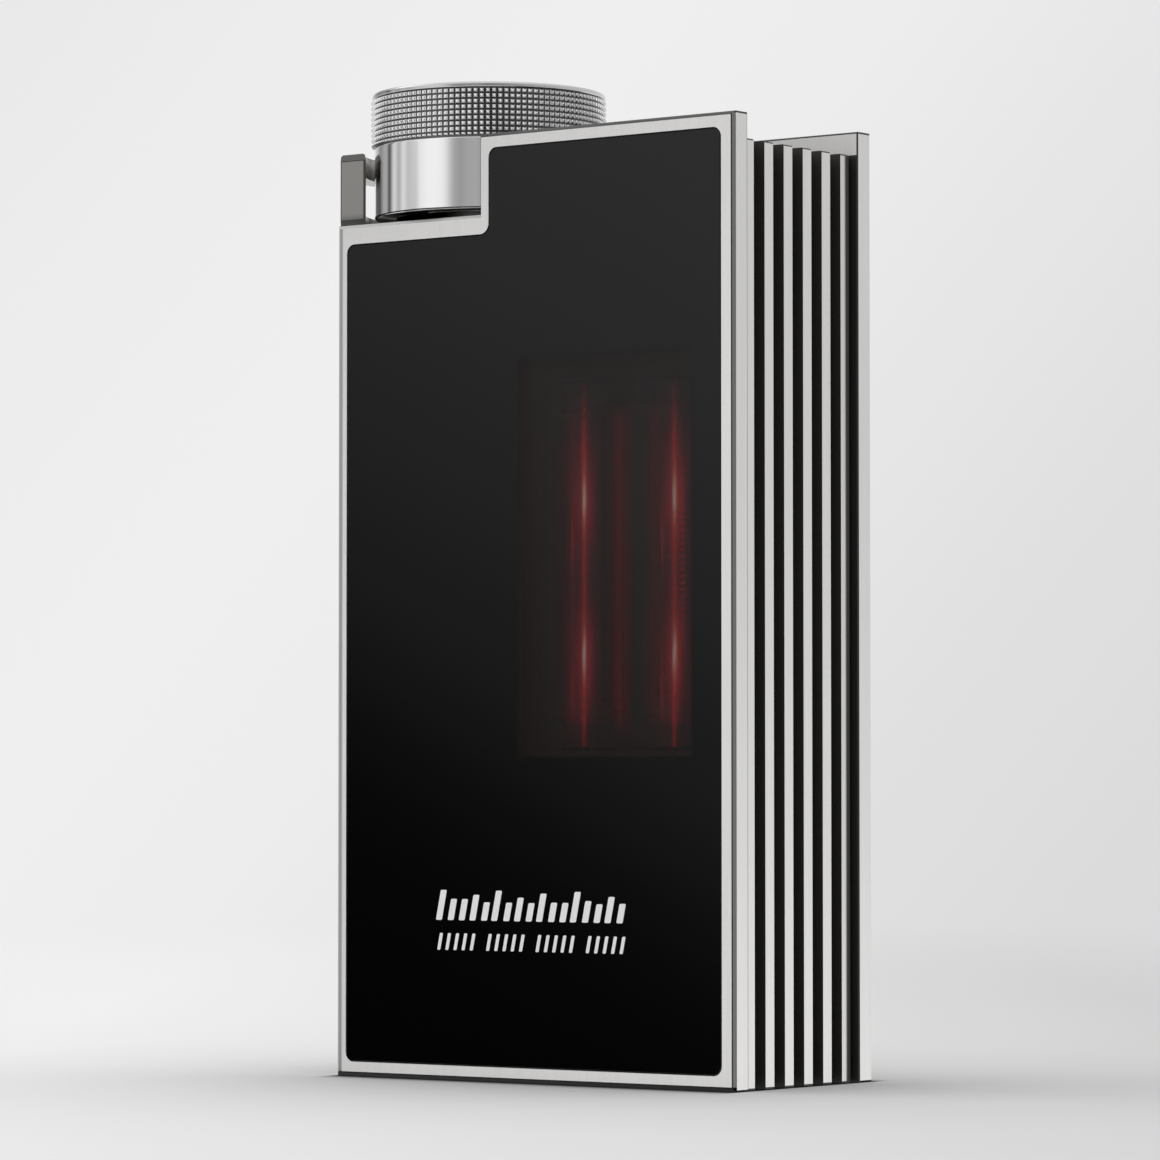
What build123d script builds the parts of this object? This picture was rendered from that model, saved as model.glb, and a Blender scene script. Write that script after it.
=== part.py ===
from build123d import *
import os
from math import cos, sin, pi, sqrt, radians

os.makedirs("parts", exist_ok=True)

# Pocket headphone amplifier with two subminiature tubes, standing on its lower
# end.  Millimetres.  +Z up, +X to the right of the glass front, +Y to the back.
# Origin: centre of the flat lower end, midway between the two plates' outer faces.

# ---------------------------------------------------------------- driving sizes
W = 33.9            # width over the plates
D = 16.1            # depth over the plates
H = 64.5            # height of the plates
T = 1.6             # thickness of each plate
CH = 0.25           # edge chamfer of the plates' outer faces
CH_IN = 0.07        # eased edge of the plates' inner faces
CH_BACK = 0.13      # edge chamfer of the back plate's outer face

NOTCH_W = 12.5      # corner notch for the dial, from the left edge
NOTCH_Z = 59.0      # height of the notch floor in the plates

GLASS_X0, GLASS_X1 = 0.93, 32.84   # glass outline, from the left edge
GLASS_Z0, GLASS_Z1 = 1.02, 63.48
GLASS_STEP_X, GLASS_STEP_Z = 13.42, 57.6
GLASS_R, GLASS_R_IN = 0.65, 0.75
GLASS_T = 0.8
TAPE_T = 0.1
RECESS = GLASS_T + TAPE_T

WIN_X0, WIN_X1 = 15.1, 30.1        # tube window in the plate, from the left edge
WIN_Z0, WIN_Z1 = 21.75, 49.6

CHASSIS_TOP = 62.9
FLOOR_Z = 58.4      # chassis floor under the dial
RIB_OUT = 0.45      # rib faces stand this far inside the plates' edges
GROOVE_D = 1.3      # depth of the grooves between ribs
RIB_W, RIB_PITCH, RIB_N = 1.0, 2.24, 6
RIB_SHIFT = -0.03
CAV_X = 14.0        # half width of the cavity
CAV_Z0 = 2.4        # inner face of the lower end wall

KX, KY = 7.14 - W / 2, 0.0         # dial axis
DIAL_R = 8.25       # over the knurl
DIAL_Z0, DIAL_Z1 = 64.55, 68.35
SKIRT_R = 8.0
SKIRT_Z0 = 59.6
POCKET_R = 8.7
PRESS = 0.35        # travel of the dial when pressed
GUARD_R = 10.4
GUARD_Z0, GUARD_Z1 = 59.1, 64.25
GUARD_HALF = 6.3    # half width of the guard, front to back

JACK44_X, JACK44_R, JACK44_L = -6.6, 2.25, 19.6
JACK35_X, JACK35_R, JACK35_L = 6.4, 1.8, 14.6
USB_X = 6.0

hx, hy = W / 2, D / 2
yi = hy - T         # inner faces of the plates


# ---------------------------------------------------------------- helpers
def box(x0, x1, y0, y1, z0, z1):
    return Pos((x0 + x1) / 2, (y0 + y1) / 2, (z0 + z1) / 2) * Box(x1 - x0, y1 - y0, z1 - z0)


def cyl(x, y, z0, z1, r):
    return Pos(x, y, (z0 + z1) / 2) * Cylinder(r, z1 - z0)


def cyl_y(x, z, y0, y1, r):
    return Pos(x, (y0 + y1) / 2, z) * Rot(90, 0, 0) * Cylinder(r, y1 - y0)


def cone_y(x, z, y0, y1, r0, r1):
    # radius r0 at y0 and r1 at y1
    return Pos(x, (y0 + y1) / 2, z) * Rot(-90, 0, 0) * Cone(r0, r1, y1 - y0)


def cyl_x(y, z, x0, x1, r):
    return Pos((x0 + x1) / 2, y, z) * Rot(0, 90, 0) * Cylinder(r, x1 - x0)


def tube_z(x, y, z0, z1, ro, ri):
    return cyl(x, y, z0, z1, ro) - cyl(x, y, z0 - 1, z1 + 1, ri)


def face_xz(pts, r_convex=0.0, concave=None, r_concave=0.0):
    f = make_face(Polyline(*[(a, b) for a, b in pts], close=True))
    if r_convex:
        vs = f.vertices()
        if concave is not None:
            inner = [v for v in vs if abs(v.X - concave[0]) < 1e-3 and abs(v.Y - concave[1]) < 1e-3]
            outer = [v for v in vs if v not in inner]
            f = fillet(inner, r_concave)
            keys = [(round(v.X, 3), round(v.Y, 3)) for v in outer]
            outer2 = [v for v in f.vertices() if (round(v.X, 3), round(v.Y, 3)) in keys]
            f = fillet(outer2, r_convex)
        else:
            f = fillet(vs, r_convex)
    return f


def prism_y(face, y0, y1):
    # face drawn in x, z; solid from y0 to y1
    pl = Plane(origin=(0, y1, 0), x_dir=(1, 0, 0), z_dir=(0, -1, 0))
    return extrude(pl * face, amount=y1 - y0)


def rrect(w, h, r):
    return RectangleRounded(w, h, r)


def prism_z(x, y, z0, z1, w, h, r):
    return Pos(x, y, z0) * extrude(rrect(w, h, r), amount=z1 - z0)


NODES = {}


def out(name, shape):
    solids = shape.solids()
    NODES[name] = shape
    if len(solids) > 1:
        shape = Compound(children=[Solid(s.wrapped) for s in solids])
    elif len(solids) == 1:
        shape = solids[0]
    shape.label = name
    export_step(shape, f"parts/{name}.step")


# ---------------------------------------------------------------- fastener places
SCREWS = [(-12.4, 4.2), (12.4, 4.2), (-12.4, 49.4), (12.4, 59.2)]
BOSS_IN = 10.9      # bosses fill the cavity corners from here to the side wall
STUB_R, STUB_L = 1.15, 3.0

# ---------------------------------------------------------------- front frame
L_pts = [(-hx, 0), (hx, 0), (hx, H), (-hx + NOTCH_W, H), (-hx + NOTCH_W, NOTCH_Z), (-hx, NOTCH_Z)]
plate_face = face_xz(L_pts)

gx0, gx1 = GLASS_X0 - hx, GLASS_X1 - hx
gsx = GLASS_STEP_X - hx


def glass_face(g=0.0):
    pts = [(gx0 - g, GLASS_Z0 - g), (gx1 + g, GLASS_Z0 - g), (gx1 + g, GLASS_Z1 + g),
           (gsx - g, GLASS_Z1 + g), (gsx - g, GLASS_STEP_Z + g), (gx0 - g, GLASS_STEP_Z + g)]
    return face_xz(pts, GLASS_R + g, (gsx - g, GLASS_STEP_Z + g), GLASS_R_IN - g)


def chamfered_plate(y0, y1, c0, c1):
    p = prism_y(plate_face, y0, y1)
    for y, c in ((y0, c0), (y1, c1)):
        p = chamfer([ed for ed in p.edges() if abs(ed.center().Y - y) < 1e-4], c)
    return p


front = chamfered_plate(-hy, -yi, CH, CH_IN)
front -= prism_y(glass_face(0.03), -hy - 1, -hy + RECESS)
win = prism_y(face_xz([(WIN_X0 - hx, WIN_Z0), (WIN_X1 - hx, WIN_Z0), (WIN_X1 - hx, WIN_Z1), (WIN_X0 - hx, WIN_Z1)], 0.4),
              -hy - 1, -yi + 1)
front -= win
for sx, sz in SCREWS:
    front += cyl_y(sx, sz, -yi - 0.1, -yi + STUB_L, STUB_R)
    front -= cyl_y(sx, sz, -yi + 0.3, -yi + STUB_L + 1, 0.72)
out("front_frame", front)

# glass: flush with the frame, edges eased
glass = prism_y(glass_face(0.0), -hy, -hy + GLASS_T)
ge = [ed for ed in glass.edges() if abs(ed.center().Y + hy) < 1e-4]
glass = chamfer(ge, 0.08)
out("front_glass", glass)

# adhesive frame behind the glass, open at the tube window
tape = prism_y(glass_face(-0.35), -hy + GLASS_T, -hy + RECESS)
tape -= prism_y(face_xz([(WIN_X0 - hx - 0.1, WIN_Z0 - 0.1), (WIN_X1 - hx + 0.1, WIN_Z0 - 0.1),
                         (WIN_X1 - hx + 0.1, WIN_Z1 + 0.1), (WIN_X0 - hx - 0.1, WIN_Z1 + 0.1)], 0.5), -hy - 1, 0)
out("glass_adhesive", tape)

# ---------------------------------------------------------------- back plate
back = chamfered_plate(yi, hy, CH_IN, CH_BACK)
for sx, sz in SCREWS:
    back -= cyl_y(sx, sz, yi - 1, hy + 1, 0.78)
    back -= cone_y(sx, sz, hy - 0.75, hy + 0.05, 0.78, 1.62)
out("back_plate", back)

# ---------------------------------------------------------------- chassis
rx = hx - RIB_OUT
ch = box(-rx, rx, -yi, yi, 0, CHASSIS_TOP)
ch -= box(-rx - 1, -hx + NOTCH_W, -yi - 1, yi + 1, FLOOR_Z, CHASSIS_TOP + 1)
ch -= cyl(KX, KY, FLOOR_Z, CHASSIS_TOP + 1, POCKET_R)
# cavity, open to both plates
ch -= box(-CAV_X, CAV_X, -yi - 1, yi + 1, CAV_Z0, 57.0)
ch -= box(0.4, CAV_X, -yi - 1, yi + 1, 50.0, 60.9)
# corner bosses for the long screws
for sx, sz in SCREWS:
    x0, x1 = (-CAV_X, -BOSS_IN) if sx < 0 else (BOSS_IN, CAV_X)
    z0, z1 = {4.2: (CAV_Z0, 5.9), 49.4: (47.8, 51.0), 59.2: (57.5, 60.9)}[sz]
    ch += box(x0 - (0.2 if sx < 0 else 0), x1 + (0.2 if sx > 0 else 0), -yi, yi, z0 - (0.2 if z0 == CAV_Z0 else 0), z1 + (0.2 if z1 == 60.9 else 0))
    ch -= cyl_y(sx, sz, -yi - 1, -yi + STUB_L + 0.1, STUB_R + 0.04)
    ch -= cyl_y(sx, sz, -yi - 1, yi + 1, 0.78)
# board ledges on the side walls
LEDGES = [(-1, 27.0), (1, 27.0), (1, 52.6)]
for s, z in LEDGES:
    x0, x1 = (-CAV_X - 0.2, -11.9) if s < 0 else (11.9, CAV_X + 0.2)
    ch += box(x0, x1, 0.45, 3.2, z - 1.6, z + 1.6)
    ch -= cyl_y(s * 12.9, z, 0, 2.4, 0.56)
# grooves between the ribs, both sides, right through from end to end
c0 = RIB_SHIFT - RIB_PITCH * (RIB_N - 1) / 2
ribs = [(c0 + i * RIB_PITCH - RIB_W / 2, c0 + i * RIB_PITCH + RIB_W / 2) for i in range(RIB_N)]
gaps = [(-yi - 0.5, ribs[0][0])] + [(ribs[i][1], ribs[i + 1][0]) for i in range(RIB_N - 1)] + [(ribs[-1][1], yi + 0.5)]
for a, b in gaps:
    for s in (-1, 1):
        x0, x1 = sorted((s * (rx - GROOVE_D), s * (rx + 1)))
        ch -= box(x0, x1, a, b, -1, CHASSIS_TOP + 1)
# openings: sockets in the lower end, USB in the upper end, bushing in the floor
ch -= cyl(JACK44_X, 0, -1, CAV_Z0 + 1, 3.95)
ch -= cyl(JACK35_X, 0, -1, CAV_Z0 + 1, 3.25)
ch -= prism_z(USB_X, 0, 60.0, CHASSIS_TOP + 1, 9.2, 3.42, 1.55)
ch -= cyl(KX, KY, 56.0, FLOOR_Z + 1, 3.06)
GUARD_SCREWS = [(-13.2, 4.9), (-13.2, -4.9), (-3.55, 0.0)]
for gx, gy in GUARD_SCREWS:
    ch -= cyl(gx, gy, 56.5, FLOOR_Z + 1, 0.62)
# eased top ends of the ribs
te = [ed for ed in ch.edges() if abs(ed.center().Z - CHASSIS_TOP) < 1e-4 and abs(abs(ed.center().X) - rx) < 1e-4]
ch = chamfer(te, 0.08)
out("chassis", ch)

# ---------------------------------------------------------------- guard round the dial
wall = tube_z(KX, KY, GUARD_Z0, GUARD_Z1, GUARD_R, POCKET_R)
wall = wall & box(KX - 12, KX, -GUARD_HALF, GUARD_HALF, GUARD_Z0, GUARD_Z1)
we = [ed for ed in wall.edges() if (abs(ed.center().Z - GUARD_Z0) < 1e-4 or abs(ed.center().Z - GUARD_Z1) < 1e-4)
      and abs(abs(ed.center().Y) - GUARD_HALF) < 1e-3]
wall = chamfer(we, 0.5)
we = [ed for ed in wall.edges() if ed.geom_type == GeomType.CIRCLE
      and (abs(ed.center().Z - GUARD_Z0) < 1e-3 or abs(ed.center().Z - GUARD_Z1) < 1e-3)]
try:
    wall = chamfer(we, 0.12)
except Exception:
    pass
# cord window through the wall
wall -= box(KX - 12, KX, -4.55, 4.55, 60.0, 62.7)
ring = tube_z(KX, KY, FLOOR_Z, GUARD_Z0, 8.62, 5.3) & box(KX - 9, KX + 9, -6.38, 6.38, 0, 100)
tongue = tube_z(KX, KY, FLOOR_Z, GUARD_Z0 + 0.1, 9.9, 8.0) & box(KX - 12, KX - 4, -5.6, 5.6, 0, 100)
guard = wall + ring + (tongue - tube_z(KX, KY, GUARD_Z0, 70, 8.7, 1))
for gx, gy in GUARD_SCREWS:
    guard -= cyl(gx, gy, 58, 60, 0.78)
    guard -= Pos(gx, gy, 58.9) * Cone(0.78, 1.32, 0.44)
out("knob_guard", guard)

gs = None
for gx, gy in GUARD_SCREWS:
    s = cyl(gx, gy, 57.15, 58.75, 0.6) + Pos(gx, gy, 58.86) * Cone(0.6, 1.2, 0.4)
    s -= Pos(gx, gy, 59.06) * extrude(RegularPolygon(0.38, 6), amount=-0.25)
    gs = s if gs is None else gs + s
out("guard_screws", gs)

# ---------------------------------------------------------------- long screws, from the back plate into the front frame
ls = None
for sx, sz in SCREWS:
    s = cyl_y(sx, sz, -yi + 0.5, hy - 0.5, 0.7) + cone_y(sx, sz, hy - 0.75, hy - 0.05, 0.75, 1.5)
    s -= prism_y(Pos(sx, sz) * RegularPolygon(0.5, 6), hy - 0.55, hy + 1)
    ls = s if ls is None else ls + s
out("plate_screws", ls)

# ---------------------------------------------------------------- dial: knurled cap, polished skirt, brass insert
cap = cyl(KX, KY, DIAL_Z0, DIAL_Z1, DIAL_R)
te = [ed for ed in cap.edges() if abs(ed.center().Z - DIAL_Z1) < 1e-4]
cap = chamfer(te, 0.3)
cap -= cyl(KX, KY, DIAL_Z0 - 1, DIAL_Z0 + 0.95, 7.0)
cap += cyl(KX, KY, 62.2, DIAL_Z0 + 1.0, 3.4)
cap -= cyl(KX, KY, 60, 66.9, 2.4)
cap -= cyl(KX, KY, DIAL_Z1 - 0.2, DIAL_Z1 + 1, 6.6)
out("knob_cap", cap)

skirt = tube_z(KX, KY, SKIRT_Z0, DIAL_Z0, SKIRT_R, 6.5)
se = [ed for ed in skirt.edges() if abs(ed.center().Z - SKIRT_Z0) < 1e-4 and ed.radius > 7.5]
skirt = chamfer(se, 0.12)
skirt += tube_z(KX, KY, DIAL_Z0 - 0.5, DIAL_Z0 + 0.9, 6.97, 6.5)
out("knob_skirt", skirt)

# turned top inlay of the dial
inlay = cyl(KX, KY, DIAL_Z1 - 0.2, DIAL_Z1 - 0.05, 6.55)
out("knob_top_disc", inlay)

flat = 0.95         # distance of the shaft's flat from its axis
insert = cyl(KX, KY, 62.2, 66.85, 2.38) - (cyl(KX, KY, 60, 66.4, 1.52) & box(KX - 3, KX + 3, -3, flat + 0.02, 50, 70))
out("knob_insert", insert)

shaft = cyl(KX, KY, 54.3, 66.3, 1.5)
shaft -= box(KX - 3, KX + 3, flat, 3, 61.6, 70)
se = [ed for ed in shaft.edges() if abs(ed.center().Z - 54.3) < 1e-4]
shaft = chamfer(se, 0.15)
out("encoder_shaft", shaft)

# ---------------------------------------------------------------- rotary encoder with push switch
enc = box(KX - 4, KX + 4, -4, 4, 52.4, 57.0)
ve = [ed for ed in enc.edges() if abs(ed.tangent_at(0.5).Z) > 0.99]
enc = chamfer(ve, 0.5)
enc += cyl(KX, KY, 56.5, 61.2, 3.0)
enc -= cyl(KX, KY, 52.6, 54.9, 2.5)
enc -= cyl(KX, KY, 54.5, 62, 1.56)
out("encoder_body", enc)

nut = Pos(KX, KY, FLOOR_Z) * extrude(RegularPolygon(4.55, 6), amount=1.0)
nut -= cyl(KX, KY, 50, 70, 3.03)
out("encoder_nut", nut)

plunger = cyl(KX, KY, 53.6, 54.28, 2.2) + cyl(KX, KY, 53.14, 53.7, 0.8)
out("switch_plunger", plunger)

dome = Pos(KX, KY, 52.6) * (Cylinder(2.2, 0.5, align=(Align.CENTER, Align.CENTER, Align.MIN)))
R_d = (2.2 ** 2 + 0.5 ** 2) / (2 * 0.5)
sph_o = Pos(KX, KY, 52.6 + 0.5 - R_d) * Sphere(R_d)
sph_i = Pos(KX, KY, 52.6 + 0.5 - R_d - 0.12) * Sphere(R_d)
dome = (dome & sph_o) - sph_i
out("switch_dome", dome)

# ---------------------------------------------------------------- boards
kb = box(-13.9, -2.2, -5.9, 5.9, 51.6, 52.4)
out("knob_board", kb)

PX = 13.6
pcb = box(-PX, PX, -0.4, 0.4, 2.7, 60.5)
pcb -= box(-PX - 1, -2.0, -1, 1, 50.9, 61)                       # room for the dial board
pcb -= box(-PX - 1, -BOSS_IN + 0.2, -1, 1, 0, 6.2)               # boss corners
pcb -= box(BOSS_IN - 0.2, PX + 1, -1, 1, 0, 6.2)
pcb -= box(-PX - 1, -BOSS_IN + 0.2, -1, 1, 47.5, 52)
pcb -= box(BOSS_IN - 0.2, PX + 1, -1, 1, 57.2, 62)
pcb -= box(-2.1, 0.7, -1, 1, 56.7, 61)                           # clear of the pocket wall
pcb -= box(JACK44_X - 4.15, JACK44_X + 4.15, -1, 1, 0, 21.7)
pcb -= box(JACK35_X - 3.35, JACK35_X + 3.35, -1, 1, 0, 16.7)
pcb -= box(USB_X - 4.6, USB_X + 4.6, -1, 1, 55.2, 62)
for s, z in LEDGES:
    pcb -= cyl_y(s * 12.9, z, -1, 1, 0.65)
out("main_board", pcb)

ps = None
for s, z in LEDGES:
    c = cyl_y(s * 12.9, z, -0.45, 2.2, 0.53) + cyl_y(s * 12.9, z, -1.0, -0.41, 1.0)
    c -= prism_y(Pos(s * 12.9, z) * RegularPolygon(0.38, 6), -1.5, -0.75)
    ps = c if ps is None else ps + c
out("board_screws", ps)

flex = box(-6.0, -2.8, -2.2, -2.05, 46.0, 51.3) + box(-6.0, -2.8, -2.2, -0.42, 45.85, 46.02) + box(-6.0, -2.8, -2.2, -1.2, 51.28, 51.45)
out("board_flex", flex)

# ---------------------------------------------------------------- tubes behind the window
TX = [18.7 - hx, 26.2 - hx]
TY = -3.95
TW, TD = 7.0, 4.7
TZ0, TZ1 = 22.6, 48.6
for name, x in (("left", TX[0]), ("right", TX[1])):
    o = prism_z(x, TY, TZ0, TZ1, TW, TD, 2.2)
    te = [ed for ed in o.edges() if abs(ed.center().Z - TZ1) < 1e-3]
    o = fillet(te, 1.4)
    o += Pos(x, TY, TZ1 + 0.3) * Cone(0.9, 0.3, 1.0)
    i = prism_z(x, TY, TZ0 + 1.6, TZ1 - 0.6, TW - 1.0, TD - 1.0, 1.7)
    te = [ed for ed in i.edges() if abs(ed.center().Z - TZ1 + 0.6) < 1e-3]
    i = fillet(te, 0.9)
    o -= i
    out(f"tube_{name}_bulb", o)
    # electrodes: anode box open at the front and back, two notched mica spacers, side rods
    an = box(x - 2.1, x + 2.1, TY - 1.15, TY + 1.15, 25.7, 45.3) - box(x - 1.9, x + 1.9, TY - 0.95, TY + 0.95, 20, 60)
    an -= box(x - 1.5, x + 1.5, TY - 2, TY, 26.1, 44.9)
    an -= box(x - 0.55, x + 0.55, TY, TY + 2, 26.9, 44.1)
    mica = prism_z(x, TY, 24.95, 25.2, 5.5, 3.1, 1.4) + prism_z(x, TY, 45.8, 46.05, 5.5, 3.1, 1.4)
    mica -= box(x - 1.1, x + 1.1, TY - 3, TY - 0.35, 20, 60)
    rods = None
    for dx in (-2.0, 2.0):
        rr = cyl(x + dx, TY, 24.4, 46.9, 0.22)
        rods = rr if rods is None else rods + rr
    rods += box(x - 2.0, x + 2.0, TY, TY + 0.2, 24.4, 24.6)
    rods += box(x - 2.0, x + 2.0, TY, TY + 0.2, 46.7, 46.9)
    el = an + mica + rods
    out(f"tube_{name}_electrodes", el)
    # filament: one fine rod strung between the spacers, drawn clear of them
    fil = cyl(x, TY, 25.25, 45.75, 0.1)
    out(f"tube_{name}_filament", fil)

leads = None
for x in TX:
    for dx in (-2.0, -1.0, 0.0, 1.0, 2.0):
        w = cyl(x + dx, TY, 20.9, TZ0, 0.19)
        w += cyl_y(x + dx, 21.09, TY, -0.45, 0.19)
        leads = w if leads is None else leads + w
out("tube_leads", leads)

# silicone cradle that holds both tubes and shades the window
cx0, cx1 = -2.45, 13.75
cr = box(cx0, cx1, -yi + 0.05, -1.3, 22.0, 50.3) - box(cx0 + 0.45, cx1 - 0.45, -yi - 1, -1.55, 22.4, 49.9)
for x in TX:
    for dx in (-2.0, -1.0, 0.0, 1.0, 2.0):
        cr -= cyl(x + dx, TY, 21.0, 23.0, 0.25)
cr -= box(12.0, 14.0, -1.7, -1.2, 25.0, 29.0)
out("tube_cradle", cr)

# ---------------------------------------------------------------- sockets in the lower end
def jack(name, x, r, length, ring_r, body_w, body_top, slots):
    ring = tube_z(x, 0, 0.1, 2.3, ring_r, r)
    e = [ed for ed in ring.edges() if abs(ed.center().Z - 0.1) < 1e-4]
    ring = chamfer(e, 0.2)
    out(f"{name}_ring", ring)
    body = box(x - body_w / 2, x + body_w / 2, -body_w / 2, body_w / 2, 2.5, body_top)
    ve = [ed for ed in body.edges() if abs(ed.tangent_at(0.5).Z) > 0.99]
    body = chamfer(ve, 0.6)
    body += cyl(x, 0, 2.3, 2.6, ring_r - 0.1)
    body -= cyl(x, 0, 0, length, r)
    con = None
    for k, z in enumerate(slots):
        s = 1 if k % 2 == 0 else -1
        x0, x1 = sorted((x + s * (r + 0.12), x + s * (body_w / 2 + 1)))
        body -= box(x0, x1, 0.75, 1.35, z, z + 1.6)
        body -= box(*sorted((x + s * (r + 0.12), x + s * (r + 0.6))), 0.42, 1.35, z, z + 1.6)
        x0, x1 = sorted((x + s * (r + 0.2), x + s * (body_w / 2 + 0.6)))
        c = box(x0, x1, 0.85, 1.2, z + 0.2, z + 1.4)
        con = c if con is None else con + c
    out(f"{name}_body", body)
    out(f"{name}_contacts", con)


jack("jack_44", JACK44_X, JACK44_R, JACK44_L, 3.9, 8.1, 21.5, (4.0, 7.0, 10.5, 14.0, 17.5))
jack("jack_35", JACK35_X, JACK35_R, JACK35_L, 3.2, 6.5, 16.5, (4.0, 7.0, 10.0, 13.0))

# ---------------------------------------------------------------- USB-C receptacle in the upper end
shell = prism_z(USB_X, 0, 55.5, CHASSIS_TOP - 0.05, 8.94, 3.2, 1.5) - prism_z(USB_X, 0, 56.3, CHASSIS_TOP + 1, 8.34, 2.6, 1.25)
out("usb_c_shell", shell)
tongue = box(USB_X - 3.3, USB_X + 3.3, -0.35, 0.35, 56.35, 61.6) + box(USB_X - 3.55, USB_X + 3.55, -1.0, 1.0, 56.35, 57.6)
out("usb_c_tongue", tongue)

# ---------------------------------------------------------------- parts on the main board
def chip(x, z, w, h, t, side, r=0.0):
    y0, y1 = (0.42, 0.42 + t) if side > 0 else (-0.42 - t, -0.42)
    return box(x - w / 2, x + w / 2, y0, y1, z - h / 2, z + h / 2)


out("dac_chip", chip(5.0, 40.5, 7.0, 7.0, 1.0, 1))
out("usb_bridge_chip", chip(5.5, 51.5, 5.0, 5.0, 0.9, 1))
out("controller_chip", chip(-8.0, 45.0, 4.0, 4.0, 0.8, 1))
ops = None
for x, z in ((-7.5, 26.5), (-7.5, 33.0), (-1.2, 26.5), (-1.2, 33.0)):
    c = chip(x, z, 3.9, 4.9, 1.4, 1)
    for i in range(4):
        zz = z - 1.9 + i * 1.27
        for s in (-1, 1):
            x0, x1 = sorted((x + s * 1.95, x + s * 2.7))
            c += box(x0 - (0.05 if s > 0 else 0), x1 + (0.05 if s < 0 else 0), 0.42, 0.82, zz - 0.2, zz + 0.2)
    ops = c if ops is None else ops + c
out("opamp_chips", ops)
osc = None
for x, z in ((0.0, 46.0), (10.0, 46.0)):
    c = chip(x, z, 3.2, 2.5, 1.0, 1)
    osc = c if osc is None else osc + c
out("clock_oscillators", osc)
caps = None
for x, z in ((-6.2, 38.5), (-6.2, 31.0), (-6.2, 24.9)):
    c = cyl_x(-3.15, z, x - 4.5, x + 2.5, 2.4)
    caps = c if caps is None else caps + c
out("coupling_capacitors", caps)
tan = None
for x, z in ((6.0, 22.5), (10.0, 22.5), (6.0, 27.5), (10.0, 27.5), (6.0, 32.5), (10.0, 32.5)):
    c = chip(x, z, 2.8, 3.5, 1.9, 1)
    tan = c if tan is None else tan + c
out("tantalum_capacitors", tan)
ind = None
for x, z in ((-8.0, 39.5), (-3.0, 39.5)):
    c = chip(x, z, 4.0, 4.0, 2.0, 1)
    ind = c if ind is None else ind + c
out("power_inductors", ind)

# totals
bb = Compound(children=[Solid(s.wrapped) for n in NODES.values() for s in n.solids()]).bounding_box()
print("box", bb.min, bb.max, "nodes", len(NODES))
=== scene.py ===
import math
import random

import bmesh
import bpy
from mathutils import Matrix, Vector


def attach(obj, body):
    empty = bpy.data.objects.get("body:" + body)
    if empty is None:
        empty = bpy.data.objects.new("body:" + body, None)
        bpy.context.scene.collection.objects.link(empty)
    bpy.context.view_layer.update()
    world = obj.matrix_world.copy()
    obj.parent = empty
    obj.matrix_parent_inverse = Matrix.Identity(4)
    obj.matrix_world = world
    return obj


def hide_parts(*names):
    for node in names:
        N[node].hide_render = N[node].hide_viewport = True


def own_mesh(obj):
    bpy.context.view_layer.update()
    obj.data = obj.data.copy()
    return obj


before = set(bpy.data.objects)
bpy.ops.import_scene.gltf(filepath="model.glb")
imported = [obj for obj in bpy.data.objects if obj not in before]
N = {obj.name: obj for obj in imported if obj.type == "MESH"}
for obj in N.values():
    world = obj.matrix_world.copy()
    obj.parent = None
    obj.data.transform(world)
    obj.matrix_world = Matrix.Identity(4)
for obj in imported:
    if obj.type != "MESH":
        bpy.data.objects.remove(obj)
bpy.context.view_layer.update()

MM = 0.001
random.seed(7)
scene = bpy.context.scene

# ------------------------------------------------------------------ camera
YAW, PITCH = math.radians(37.07), math.radians(2.2234)
cam_data = bpy.data.cameras.new("camera")
cam_data.lens = 163.74
cam_data.sensor_width = 36.0
cam_data.clip_start, cam_data.clip_end = 0.01, 50.0
cam = bpy.data.objects.new("camera", cam_data)
scene.collection.objects.link(cam)
cam.location = (0.21743, -0.29021, 0.02009)
look = Vector((-math.sin(YAW) * math.cos(PITCH), math.cos(YAW) * math.cos(PITCH), math.sin(PITCH)))
cam.rotation_mode = "QUATERNION"
cam.rotation_quaternion = look.to_track_quat("-Z", "Y")
scene.camera = cam
scene.view_settings.view_transform = "Standard"
scene.view_settings.look = "None"
scene.view_settings.exposure = 0.0
scene.view_settings.gamma = 1.0
scene.render.film_transparent = False


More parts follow.
